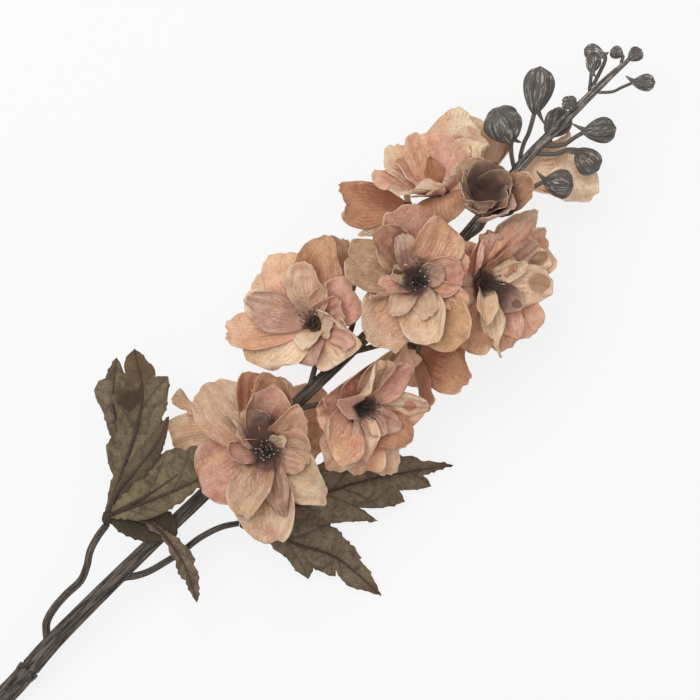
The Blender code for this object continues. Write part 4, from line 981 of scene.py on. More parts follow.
def least_distance(points, obstacles):
    """Least distance left between points and round-ended rods (start, end, radius)."""
    flat = points.reshape(-1, 3)
    least = 1.0
    for start, end, radius in obstacles:
        way = end - start
        along = np.clip((flat - start) @ way / max(way @ way, 1e-12), 0, 1)
        away = np.linalg.norm(flat - start - along[:, None] * way, axis=1) - radius
        least = min(least, float(away.min()))
    return least


def rods_of(path, radius):
    """A rod for each stretch of a path."""
    return [(np.array(a), np.array(b), radius) for a, b in zip(path, path[1:])]


def stalk_obstacles(bloom):
    """Rods for everything that this bloom's petals keep clear of."""
    line = [Vector(p[:3]) for p in STEM_PATH]
    rods = rods_of(line[len(line) // 4 :], STALK_ROD)
    for other in BLOOMS:
        path = pedicel_path(other)
        rods += rods_of(path[:-2] if other.name == bloom.name else path, PEDICEL_RADIUS)
    for bud in BUDS:
        path = bud_root(bud)
        rods += rods_of(path, bud.stalk_radius * MM)
        reach = unit(bud.points) * bud.length * MM
        rods += rods_of([path[-1] + reach * 0.35, path[-1] + reach * 0.75], bud.width / 2 * MM)
    return rods


def settled_petals(bloom, obstacles):
    """(petals, planes, floor): the bloom's petals, each closed up until it clears the stalks near it."""
    planes = neighbour_planes(bloom)
    floor = SOLID_PETAL / 2
    settled = []
    for petal in petals_of(bloom):
        for _ in range(CLOSING_TRIES):
            points = bent_clear(petal_grid(bloom, petal, *CLEARANCE_GRID)[0], planes, floor)
            if least_distance(points[1:], obstacles) > STALK_CLEARANCE:
                break
            petal = petal._replace(lean=petal.lean - CLOSING_LEAN, curl=petal.curl - CLOSING_CURL,
                                   length=petal.length * CLOSING_SHARE)
        settled.append(petal)
    return settled, planes, floor


def shifted(levels, draw, amount=7, tone=0.0):
    """Linear colour of sRGB levels, lighter or darker by a tone and a seeded amount."""
    change = tone + draw.uniform(-amount, amount)
    return srgb(*(level + change for level in levels))


def blot_over(petal, column, reach):
    """1 at the middle of a petal's round spot, 0 at its rim and beyond."""
    if not petal.plan.blot:
        return np.zeros_like(reach)
    along, across, radius = petal.plan.blot[:3]
    far = np.hypot((reach - along) * petal.length, (column - across) * petal.width / 2)
    return np.clip(1 - far / (radius * MM), 0, 1)


def on_both_faces(value):
    """A grid's values, for the upper and then the lower face of its shell."""
    return np.tile(value.ravel(), 2)


def build_bloom(bloom, settings, cloth, core):
    """One bloom: its petals as thin cloth, and the small core that they stand on."""
    skin = Skin()
    draw = random.Random(bloom.name + " folds")
    settled, planes, floor = settled_petals(bloom, stalk_obstacles(bloom))
    for petal in settled:
        rows = settings.rows if petal.length > LONG_GRID else settings.rows * 2 // 3
        cols = settings.columns if petal.width > WIDE_GRID else settings.columns * 2 // 3
        grid, column, reach, rim = petal_grid(bloom, petal, rows, cols, settings, draw)
        points, faces = shell(bent_clear(grid, planes, floor), settings.thickness)
        ground, patch = TINTS[petal.plan.tint]
        blot_levels = petal.plan.blot[3:] if petal.plan.blot else patch
        throat = petal.plan.dark or bloom.dark * THROAT_SHARES[petal.ring]
        skin.add(
            points,
            faces,
            0,
            tint=shifted(ground, draw, 7, bloom.tone),
            patch=shifted(patch, draw, 7, bloom.tone),
            column=on_both_faces(column),
            reach=on_both_faces(reach),
            rim=on_both_faces(rim),
            throat=np.repeat([throat, throat * OUTER_FACE_THROAT], column.size),
            blot=on_both_faces(blot_over(petal, column, reach)),
            blot_tint=srgb(*blot_levels),
            seed=draw.uniform(0, 20),
        )
    profile = [(CORE_BOTTOM, PEDICEL_END_RADIUS), (CORE_BOTTOM * 0.8, CORE_RADIUS * 0.82),
               (CORE_BOTTOM * 0.4, CORE_RADIUS), (0.0, CORE_RADIUS),
               (CORE_TOP * 0.8, CORE_RADIUS * 0.96), (CORE_TOP, CORE_RADIUS * 0.8)]

    def ridges(along, turn):
        return 1 + 0.05 * math.cos(10 * turn) * math.sin(math.pi * along)

    points, faces, *_ = turned(Vector(bloom.heart) * MM, bloom.faces, profile, 30, ridges)
    height = (points - np.array(bloom.heart) * MM) @ np.array(unit(bloom.faces))
    skin.add(points, faces, 1, reach=(height - CORE_BOTTOM) / (CORE_TOP - CORE_BOTTOM))
    made = skin.piece(bloom.name + "_petals", cloth, core)
    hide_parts(bloom.name)


# ------------------------------------------------------------------ stamens
def build_stamens(bloom, settings, finish):
    """The dark middle of a bloom: a low dome with fine stamens that lean out of it."""
    draw = random.Random(bloom.name + " threads")
    axis, first, second = bloom_axes(bloom)
    heart = Vector(bloom.heart) * MM
    low = CORE_TOP + SEAT_GAP
    skin = Skin()
    dome = [(low, DOME_RADIUS), (low + 0.5 * MM, DOME_RADIUS), (low + 1.0 * MM, DOME_RADIUS * 0.8),
            (low + 1.3 * MM, DOME_RADIUS * 0.4)]
    points, faces, *_ = turned(heart, axis, dome, 24)
    skin.add(points, faces, 0, pale=0.0)
    tuft = TUFTS[bloom.name]
    aim = math.radians(tuft.aim)
    slant = (first * math.cos(aim) + second * math.sin(aim)) * tuft.slant
    for number in range(tuft.count):
        turn = 2 * math.pi * (number * GOLDEN_SHARE + draw.uniform(-0.05, 0.05))
        spread = math.sqrt((number + 0.5) / tuft.count)
        out = first * math.cos(turn) + second * math.sin(turn)
        foot = heart + axis * (low + 0.7 * MM) + out * 1.7 * MM * spread
        reach = tuft.reach * MM * draw.uniform(0.65, 1.12)
        lean = tuft.spread * spread * draw.uniform(0.6, 1.1)
        way = (axis + out * lean + slant).normalized()
        bend = (axis + out * (lean + draw.uniform(0.0, 0.35)) + slant * 1.25).normalized()
        path = [foot, foot + way * reach * 0.4, foot + way * reach * 0.6 + bend * reach * 0.14,
                foot + way * reach * 0.6 + bend * reach * 0.4]
        thin = settings.radius
        points, faces, *_ = tube(path, [thin * 1.2, thin, thin * 0.95, thin * 0.8], 6)
        skin.add(points, faces, 0, pale=0.04 + 0.12 * draw.random())
        pale = draw.uniform(0.7, 1.0) if draw.random() < tuft.pale else draw.uniform(0.0, 0.12)
        size = draw.uniform(0.24, 0.36) * MM
        anther = [(-size * 1.3, size * 0.3), (-size * 0.7, size * 0.85), (0.0, size),
                  (size * 0.8, size * 0.8), (size * 1.3, size * 0.25)]
        points, faces, *_ = turned(path[-1], bend, anther, 8)
        skin.add(points, faces, 0, pale=pale)
    made = skin.piece(bloom.name + "_stamen_tuft", finish)
    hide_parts(bloom.name + "_stamens")


# ------------------------------------------------------------------ the stem with its pedicels and petioles
def groove_shape(seed, depth, radius, ridges):
    """Scale of a stalk's radius round it and along it: uneven lengthwise ridges."""
    draw = random.Random(seed)
    waves = [(ridges + k, draw.uniform(0, 6), draw.uniform(1.5, 4.0)) for k in (-2, 0, 3)]

    def scale(along, turn):
        height = sum(math.sin(n * turn + phase + math.sin(along * slide * 3)) for n, phase, slide in waves)
        return 1 + depth / radius * (height / 3 - 0.25)

    return scale


def build_stem(settings, finish):
    """The bark of the stem, with the pedicels and the two leaf stalks that grow from it."""
    skin = Skin()
    joint_marks, joint_radii = zip(*STEM_JOINT)
    lip_marks = {82.8, 84.0, *joint_marks}
    marks = sorted({*np.round(np.arange(STEM_LINE[0][0], STEM_TIP, STEM_PITCH), 2), *lip_marks, STEM_TIP})
    path, radii = [], []
    for x in marks:
        point, radius = stem_at(x * MM)
        if joint_marks[0] <= x <= joint_marks[-1]:
            radius = float(np.interp(x, joint_marks, joint_radii)) * MM
        path.append(point)
        radii.append(radius)
    shape = groove_shape("stem", settings.groove, 4 * MM, 11)
    points, faces, along, turn = tube(path, radii, 48, shape=shape)
    points[:, 2] = np.maximum(points[:, 2], 0.0)
    place = along * STEM_GRAIN
    sleeve = rise(place + STEM_LINE[0][0] * MM, SLEEVE_END + 1 * MM, SLEEVE_END - 1 * MM)
    skin.add(points, faces, 0, along=place, turn=turn, sleeve=sleeve)
    for bloom in BLOOMS:
        path = pedicel_path(bloom, np.linspace(0, 1, 19))
        radii = [PEDICEL_RADIUS] * len(path)
        radii[0] = radii[1] = PEDICEL_RADIUS * 1.25
        radii[-3:] = (PEDICEL_RADIUS * 1.15, PEDICEL_RADIUS * 1.45, PEDICEL_END_RADIUS)
        shape = groove_shape(bloom.name, 0.16 * MM, PEDICEL_RADIUS, 6)
        points, faces, along, turn = tube(path, radii, 20, end_facing=bloom.faces, shape=shape)
        skin.add(points, faces, 0, along=along * PEDICEL_GRAIN, turn=turn, sleeve=0.0)
    for side in PETIOLES:
        path, facing = petiole_path(side)
        path = finer(path, 6)
        low, high = PETIOLE_RADII[side]
        radii = np.linspace(low, high, len(path)) * MM
        radii[:3] = np.array([1.5, 1.3, 1.1]) * low * MM
        shape = groove_shape(side, 0.2 * MM, low * MM, 7)
        points, faces, along, turn = tube(path, radii, 24, end_facing=facing, shape=shape)
        skin.add(points, faces, 0, along=along * PETIOLE_GRAIN, turn=turn, sleeve=0.0)
    made = skin.piece("stem_bark", finish)
    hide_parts("stem")


# ------------------------------------------------------------------ leaves
def marks_of(line):
    """How far along the plan of a line each of its points lies."""
    return np.concatenate([[0], np.cumsum(np.linalg.norm(np.diff(line[:, :2], axis=0), axis=1))])


def lobe_lines(lobe):
    """(smooth midrib, its lengths from the root, closed outline in plan), in metres."""
    coarse = np.array(lobe.midrib, float) * MM
    marks = marks_of(coarse)

    def margin(place, out):
        spot = np.array([np.interp(place, marks, coarse[:, k]) for k in (0, 1)])
        past = place - marks[-1]
        ahead = np.array([np.interp(place + 2 * MM, marks, coarse[:, k]) for k in (0, 1)])
        behind = np.array([np.interp(place - 2 * MM, marks, coarse[:, k]) for k in (0, 1)])
        way = (ahead - behind) / np.linalg.norm(ahead - behind)
        return spot + way * max(past, 0) + np.array([-way[1], way[0]]) * out

    left = [margin(a * MM, out * MM) for a, out in lobe.left]
    right = [margin(a * MM, out * MM) for a, out in lobe.right]
    way = (coarse[0, :2] - coarse[1, :2]) / np.linalg.norm(coarse[0, :2] - coarse[1, :2])
    aside = np.array([-way[1], way[0]]) * 0.8 * MM
    outline = np.array([coarse[0, :2] + aside, *right, coarse[-1, :2], *left[::-1], coarse[0, :2] - aside])
    rib = smooth_line(coarse, 8)
    return rib, left, right, outline


def along_rib(rib, spots):
    """(place along the rib, distance from it, side, height of the rib there) for points of the plan."""
    steps = np.linalg.norm(np.diff(rib[:, :2], axis=0), axis=1)
    marks = np.concatenate([[0], np.cumsum(steps)])
    best = np.full(len(spots), 1e9)
    place, side, height = (np.zeros(len(spots)) for _ in range(3))
    for i in range(len(rib) - 1):
        start, way = rib[i, :2], rib[i + 1, :2] - rib[i, :2]
        part = np.clip((spots - start) @ way / (way @ way), 0, 1)
        away = spots - start - part[:, None] * way
        distance = np.linalg.norm(away, axis=1)
        nearer = distance < best
        best = np.where(nearer, distance, best)
        place = np.where(nearer, marks[i] + part * steps[i], place)
        side = np.where(nearer, np.sign(way[0] * away[:, 1] - way[1] * away[:, 0]), side)
        height = np.where(nearer, rib[i, 2] + part * (rib[i + 1, 2] - rib[i, 2]), height)
    return place, best, side, height


VEIN_MARKS = np.linspace(0, 0.93, 12)


def side_veins(lobe, rib, left, right):
    """A vein from the midrib to each tooth of the margins, as lines of plan points."""
    veins, marks = [], marks_of(rib)
    for listed, margin in ((lobe.left, left), (lobe.right, right)):
        for i, ((place, out), spot) in enumerate(zip(listed, margin)):
            before = abs(listed[i - 1][1]) if i else 0.0
            after = abs(listed[i + 1][1]) if i + 1 < len(listed) else 0.0
            if abs(out) < 3.0 or abs(out) < before or abs(out) < after:
                continue
            root = max(place - abs(out) * 1.15, 2.0) * MM
            foot = np.array([np.interp(root, marks, rib[:, k]) for k in (0, 1)])
            knee = np.array([np.interp(root + abs(out) * 0.35 * MM, marks, rib[:, k]) for k in (0, 1)])
            bend = knee * 0.55 + spot * 0.45
            line = [foot * (1 - t) ** 2 + bend * 2 * t * (1 - t) + spot * t * t for t in VEIN_MARKS]
            veins.append(np.array(line))
    return veins


def inside(outline, spots):
    """Which points lie inside a closed outline."""
    ends = np.roll(outline, -1, axis=0)
    within = np.zeros(len(spots), bool)
    for (x0, y0), (x1, y1) in zip(outline, ends):
        if y0 == y1:
            continue
        crosses = (spots[:, 1] < y0) != (spots[:, 1] < y1)
        within ^= crosses & (spots[:, 0] < x0 + (spots[:, 1] - y0) * (x1 - x0) / (y1 - y0))
    return within


def nearest(spots, stretches):
    """Distance of each spot from the nearest of some straight stretches."""
    best = np.full(len(spots), 1e9)
    for start, end in stretches:
        way = end - start
        part = np.clip((spots - start) @ way / max(way @ way, 1e-15), 0, 1)
        best = np.minimum(best, np.linalg.norm(spots - start - part[:, None] * way, axis=1))
    return best


def edge_distance(outline, spots):
    """Distance of each spot from a closed outline."""
    return nearest(spots, zip(outline, np.roll(outline, -1, axis=0)))


def softened_outline(outline, spacing, draw):
    """The outline with more points, each stretch bowed and nicked a little as a cut edge is."""
    fine = []
    for start, end in zip(outline, np.roll(outline, -1, axis=0)):
        way = end - start
        reach = np.linalg.norm(way)
        count = max(1, int(reach / spacing))
        out = np.array([way[1], -way[0]]) / max(reach, 1e-9)
        bow = draw.uniform(-0.02, 0.07) * reach
        teeth = reach > 3.5 * MM
        for k in range(count):
            t = k / count
            nick = draw.uniform(-0.12, 0.12) * MM if k else 0.0
            nick += draw.choice((0.0, 0.0, 0.25, 0.6)) * MM if teeth and k else 0.0
            fine.append(start + way * t + out * (bow * math.sin(math.pi * t) + nick))
    return np.array(fine)


def lobe_surface(lobe, settings, draw):
    """(plan points, heights, faces, values) of the lobe's middle surface, with its veins pressed in."""
    rib, left, right, coarse = lobe_lines(lobe)
    outline = softened_outline(coarse, settings.spacing, draw)
    low, high = outline.min(0), outline.max(0)
    pitch = settings.spacing
    xs = np.arange(low[0], high[0], pitch)
    ys = np.arange(low[1], high[1], pitch * 0.87)
    spots = np.array([(x + (pitch / 2 if k % 2 else 0), y) for k, y in enumerate(ys) for x in xs])
    spots = spots[inside(outline, spots)]
    spots = spots[edge_distance(outline, spots) > pitch * 0.55]
    points = [Vector(p) for p in (*outline, *spots)]
    edges = [(i, (i + 1) % len(outline)) for i in range(len(outline))]
    flat, _, faces, *_ = delaunay_2d_cdt(points, edges, [], 1, 1e-7)
    flat = np.array(flat)
    place, distance, side, height = along_rib(rib, flat)
    veins = side_veins(lobe, rib, left, right)
    near = nearest(flat, [pair for vein in veins for pair in zip(vein, vein[1:])])
    height = height + lobe.fold * np.hypot(distance, 0.8 * MM) + lobe.tilt * side * distance
    height += lobe.wave * MM * np.sin(place / (8 * MM) + side) * np.clip(distance / (8 * MM), 0, 1)
    spots3 = np.column_stack([flat, np.zeros(len(flat))])
    height += 0.55 * MM * rumple(spots3, 9 * MM, draw.uniform(0, 40)) * rise(distance, 0.0, 5 * MM)
    puff = np.minimum(near, distance)
    height += 0.45 * MM * rise(puff, 0.0, 2.6 * MM)
    reach = place / np.linalg.norm(np.diff(rib[:, :2], axis=0), axis=1).sum()
    values = {
        "reach": reach,
        "ribs": np.exp(-distance / (1.6 * MM)),
        "veins": np.exp(-((near / (0.5 * MM)) ** 2)),
        "margin": np.exp(-edge_distance(coarse, flat) / (0.9 * MM)),
        "fold": np.zeros(len(flat)),
    }
    if lobe.name in TURNED_EDGES:
        flap = np.array(TURNED_EDGES[lobe.name]) * MM
        deep = np.where(inside(flap, flat), edge_distance(flap, flat), 0.0)
        values["fold"] = rise(deep, 0.0, 0.8 * MM)
        height += 0.5 * MM * rise(deep, 0.0, 1.2 * MM)
    return flat, height, faces, values, rib, veins


def surface_height(flat, height, spots):
    """Height of the nearest point of a lobe's surface to each spot of the plan."""
    return np.array([height[np.argmin(((flat - spot) ** 2).sum(1))] for spot in spots])


# How grey and how dark each lobe is, and how far along it the dried brown of its tip begins.
LOBE_SHADES = {
    "upright": (0.15, 0.0, 0.80), "behind": (0.9, 0.0, 1.3), "folded": (0.35, 0.6, 0.75),
    "sideways": (0.15, 0.0, 0.97), "crossing": (0.1, 1.0, 1.3), "hanging": (1.0, 0.0, 1.3),
    "long": (0.75, 0.0, 0.86), "short": (0.85, 0.05, 0.84),
}
# Where the edge of a lobe is turned over, as points of the plan in millimetres.
TURNED_EDGES = {
    "upright": ((201.3, 61.3), (205.3, 59.7), (207.2, 54.1), (212.8, 52.3), (210.5, 49.6), (205.3, 47.3),
                (199.1, 46.7), (199.1, 50.4), (198.2, 54.4), (200.7, 56.3)),
}
# Ribs beside the midrib of a lobe, as points of the plan in millimetres.
SECOND_RIBS = {"sideways": ((162, 21.4), (177, 16.9), (186, 14.9), (195.5, 13.2))}


def build_lobe(skin, lobe, settings, draw, tone, shade, dry):
    """One lobe of a leaf: its thin blade, with the ribs and veins standing on it."""
    flat, height, faces, values, rib, veins = lobe_surface(lobe, settings, draw)
    size = len(flat)
    half = settings.thickness / 2
    height = np.maximum(height, half + 0.05 * MM)
    mesh_points = np.column_stack([flat, height])
    normal = np.zeros_like(mesh_points)
    for a, b, c in faces:
        way = np.cross(mesh_points[b] - mesh_points[a], mesh_points[c] - mesh_points[a])
        way = way if way[2] > 0 else -way
        normal[[a, b, c]] += way
    normal /= np.maximum(np.linalg.norm(normal, axis=1, keepdims=True), 1e-15)
    above, below = mesh_points + normal * half, mesh_points - normal * half
    upward = []
    for face in faces:
        a, b, c = flat[list(face)]
        upward.append(face if np.cross(b - a, c - a) > 0 else face[::-1])
    shell_faces = [tuple(face) for face in upward]
    shell_faces += [tuple(i + size for i in reversed(face)) for face in upward]
    seen = {}
    for face in upward:
        for a, b in zip(face, (*face[1:], face[0])):
            seen[(a, b)] = seen.get((a, b), 0) + 1
    for a, b in seen:
        if (b, a) not in seen:
            shell_faces.append((b, a, a + size, b + size))
    both = {name: np.concatenate([value, value]) for name, value in values.items()}
    shades = {"tone": tone, "shade": shade, "dry": dry, "seed": draw.uniform(0, 20)}
    skin.add(np.concatenate([above, below]), shell_faces, 0, **shades, **both)
    lines = [(rib[:, :2], settings.rib_radius, 0.2)]
    if lobe.name in SECOND_RIBS:
        lines.append((smooth_line(SECOND_RIBS[lobe.name], 6) * MM, settings.rib_radius, 0.2))
    lines += [(vein, settings.vein_radius, 0.3) for vein in veins]
    for line, thick, least in lines:
        spots = np.array(line)
        heights = surface_height(flat, height, spots)
        wide = min(thick, 0.1 * lobe_width(lobe)) if thick == settings.rib_radius else thick
        path = [Vector((x, y, z + half * 0.6 + wide * 0.3)) for (x, y), z in zip(spots, heights)]
        shrink = np.linspace(1, least, len(path))
        points, tube_faces, along, _ = tube(path, wide * shrink, 8)
        points[:, 2] = np.maximum(points[:, 2], 0.0)
        strong = 1.0 if thick == settings.rib_radius else 0.45
        skin.add(points, tube_faces, 1, tone=tone, strong=strong * (1 - 0.25 * along))


def lobe_width(lobe):
    """Greatest width of a lobe, in metres."""
    return (max(out for _, out in lobe.left) - min(out for _, out in lobe.right)) * MM


def build_leaf(name, settings, blade, rib):
    """One leaf: its lobes, and the small hub that they part from."""
    draw = random.Random(name)
    skin = Skin()
    for lobe in LEAVES[name]:
        build_lobe(skin, lobe, settings, draw, *LOBE_SHADES[lobe.name])
    centre, facing = LEAF_HUBS[name]
    half, radius = LEAF_HUB_LENGTH / 2, LEAF_HUB_RADIUS
    profile = [(-half, radius * 0.6), (-half * 0.7, radius * 0.85), (-half * 0.3, radius),
               (half * 0.3, radius * 0.95), (half * 0.75, radius * 0.8), (half, radius * 0.45)]
    shape = groove_shape(name, 0.3 * MM, radius, 6)
    points, faces, *_ = turned(Vector(centre) * MM, facing, profile, 20, shape)
    skin.add(points, faces, 1, tone=0.8, strong=1.0)
    made = skin.piece(name + "_blades", blade, rib)
    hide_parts(name)


# ------------------------------------------------------------------ buds
# Outline of a bud: shares of its length and of its half width.
BUD_PROFILE = (
    (0.0, 0.16), (0.05, 0.28), (0.18, 0.57), (0.45, 0.92), (0.72, 1.0), (0.92, 0.72), (0.99, 0.38),
    (1.02, 0.2), (1.05, 0.03),
)


def build_bud(bud, settings, cover, stalk):
    """One bud with its stalk, and with a spur where it has one."""
    path = bud_root(bud)
    way = unit(bud.points)
    base = path[-1]
    spot, _ = stem_at(path[0].x)
    start_facing = Vector((1, 0, 0)) if bud.name == END_BUD else path[0] - spot
    foot = path[0] - (path[1] - path[0]).normalized() * FOOT_REACH
    path = finer([foot] + path[1:] + [base + way * 1.6 * MM], 6)
    skin = Skin()
    radii = np.full(len(path), bud.stalk_radius * MM)
    ridged = groove_shape(bud.name, 0.12 * MM, bud.stalk_radius * MM, 5)
    points, faces, *_ = tube(path, radii, 14, start_facing, shape=ridged)
    skin.add(points, faces, 1)
    line = smooth_line([(s * bud.length * MM, r * bud.width / 2 * MM) for s, r in BUD_PROFILE], 4)
    draw = random.Random(bud.name + " sepals")
    sepals = 5 if bud.width > BIG_BUD else 4
    start, twist = draw.uniform(0, 6), draw.uniform(-0.7, 0.7)

    def valley(along, turn):
        place = (turn + start + twist * along) * sepals / (2 * math.pi)
        return abs((place % 1.0) - 0.5) * 2

    def shape(along, turn):
        depth = math.exp(-(((1 - valley(along, turn)) / 0.16) ** 2))
        swell = 0.05 * math.cos(math.pi * valley(along, turn))
        wrinkle = 0.018 * math.sin(turn * 23 + along * 2) + 0.02 * math.sin(turn * 14 - along * 3)
        return 1 + swell - settings.groove * depth * math.sin(math.pi * min(1, along * 1.05)) ** 0.5 + wrinkle

    points, faces, along, turn = turned(base, way, [tuple(p) for p in line], 60, shape)
    groove = np.array([valley(a, t) for a, t in zip(along, turn)])
    frost = 0.9 if bud.width > BIG_BUD else 1.8
    skin.add(points, faces, 0, along=along, turn=turn, groove=groove, frost=frost)
    if bud.spur:
        sideways = way.cross(Vector((0, 0, 1))).normalized() * math.copysign(1, bud.spur)
        back = (sideways * 0.55 - way).normalized()
        foot = base + way * bud.length * 0.22 * MM
        mid = foot + back * (bud.width * 0.2 + abs(bud.spur) * 0.4) * MM
        tip = foot + back * (bud.width * 0.2 + abs(bud.spur)) * MM + sideways * 0.6 * MM
        horn = finer([foot, mid, tip], 6)
        points, faces, along, turn = tube(horn, np.linspace(1.5, 0.28, len(horn)) * MM, 14)
        skin.add(points, faces, 0, along=along, turn=turn, groove=0.3, frost=frost)
    made = skin.piece(bud.name + "_skin", cover, stalk)
    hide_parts(bud.name)


# ------------------------------------------------------------------ finishes
class Finish:
    """A material whose nodes are added one call at a time. Each call returns the socket that it ends in."""

    def __init__(self, name, roughness):
        self.material = bpy.data.materials.new(name)
        self.material.use_nodes = True
        self.nodes = self.material.node_tree.nodes
        self.links = self.material.node_tree.links
        self.shader = self.nodes["Principled BSDF"]
        self.shader.inputs["Roughness"].default_value = roughness
        self.place = self.nodes.new("ShaderNodeTexCoord").outputs["Object"]

    def feed(self, socket, value):
        """Links a socket to the input, or sets a constant on it."""
        if isinstance(value, bpy.types.NodeSocket):
            self.links.new(value, socket)
        elif hasattr(value, "__len__") and len(value) == 3 and socket.type == "RGBA":
            socket.default_value = (*value, 1.0)
        else:
            socket.default_value = value

    def value(self, name):
        """A number stored on the points."""
        node = self.nodes.new("ShaderNodeAttribute")
        node.attribute_name = name
        return node.outputs["Fac"]

    def colour(self, name):
        """A colour stored on the points."""
        node = self.nodes.new("ShaderNodeAttribute")
        node.attribute_name = name
        return node.outputs["Color"]

    def math(self, operation, first, second=0.0):
        """One step of arithmetic on one or two inputs."""
        node = self.nodes.new("ShaderNodeMath")
        node.operation = operation
        self.feed(node.inputs[0], first)
        self.feed(node.inputs[1], second)
        return node.outputs[0]

    def times(self, first, second):
        """The product of two inputs."""
        return self.math("MULTIPLY", first, second)

    def plus(self, first, second):
        """The sum of two inputs."""
        return self.math("ADD", first, second)

    def minus(self, first, second):
        """The first input less the second."""
        return self.math("SUBTRACT", first, second)

    def larger(self, first, second):
        """The larger of two inputs."""
        return self.math("MAXIMUM", first, second)

    def smooth(self, value, low, high, start=0.0, end=1.0):
        """Start up to low, end from high, smooth between them."""
        node = self.nodes.new("ShaderNodeMapRange")
        node.interpolation_type = "SMOOTHSTEP"
        for socket, given in zip(node.inputs, (value, low, high, start, end)):
            self.feed(socket, given)
        return node.outputs[0]

    def mix(self, amount, first, second, blend="MIX"):
        """Two colours mixed by an amount from 0 to 1."""
        node = self.nodes.new("ShaderNodeMix")
        node.data_type = "RGBA"
        node.blend_type = blend
        self.feed(node.inputs[0], amount)
        self.feed(node.inputs[6], first)
        self.feed(node.inputs[7], second)
        return node.outputs[2]

    def moved(self, seed, step=0.37):
        """The place in the piece, pushed away by a seed so that like pieces differ."""
        away = self.nodes.new("ShaderNodeVectorMath")
        away.operation = "ADD"
        self.feed(away.inputs[0], self.place)
        pushed = self.nodes.new("ShaderNodeCombineXYZ")
        for socket in pushed.inputs:
            self.feed(socket, self.times(seed, step))
        self.feed(away.inputs[1], pushed.outputs[0])
        return away.outputs[0]

    def together(self, x, y, z=0.0):
        """A place put together from three numbers."""
        node = self.nodes.new("ShaderNodeCombineXYZ")
        for socket, value in zip(node.inputs, (x, y, z)):
            self.feed(socket, value)
        return node.outputs[0]

    def noise(self, scale, detail=2.0, at=None, roughness=0.5, distortion=0.0):
        """Cloudy noise from 0 to 1."""
        node = self.nodes.new("ShaderNodeTexNoise")
        self.feed(node.inputs["Vector"], at or self.place)
        node.inputs["Scale"].default_value = scale
        node.inputs["Detail"].default_value = detail
        node.inputs["Roughness"].default_value = roughness
        node.inputs["Distortion"].default_value = distortion
        return node.outputs["Fac"]

    def net(self, scale, at=None):
        """Distance to the nearest line of a net of cells."""
        node = self.nodes.new("ShaderNodeTexVoronoi")
        node.feature = "DISTANCE_TO_EDGE"
        self.feed(node.inputs["Vector"], at or self.place)
        node.inputs["Scale"].default_value = scale
        return node.outputs["Distance"]

    def bump(self, height, strength, distance, under=None):
        """A normal that follows a height, over another if given."""
        node = self.nodes.new("ShaderNodeBump")
        node.inputs["Strength"].default_value = strength
        node.inputs["Distance"].default_value = distance
        self.feed(node.inputs["Height"], height)
        if under is not None:
            self.feed(node.inputs["Normal"], under)
        return node.outputs[0]

    def done(self, base, normal=None, **constants):
        """The material, with its colour, its normal and constants on the shader."""
        self.feed(self.shader.inputs["Base Color"], base)
        if normal is not None:
            self.feed(self.shader.inputs["Normal"], normal)
        for name, value in constants.items():
            self.shader.inputs[name.replace("_", " ")].default_value = value
        return self.material


def fan_lines(finish, place, fork, width):
    """1 on lines that fan out over a petal, 0 between them. A fork moves them towards their neighbours."""
    wave = finish.math("ABSOLUTE", finish.math("SINE", finish.plus(place, fork)))
    return finish.smooth(wave, 0.0, width, 1.0, 0.0)


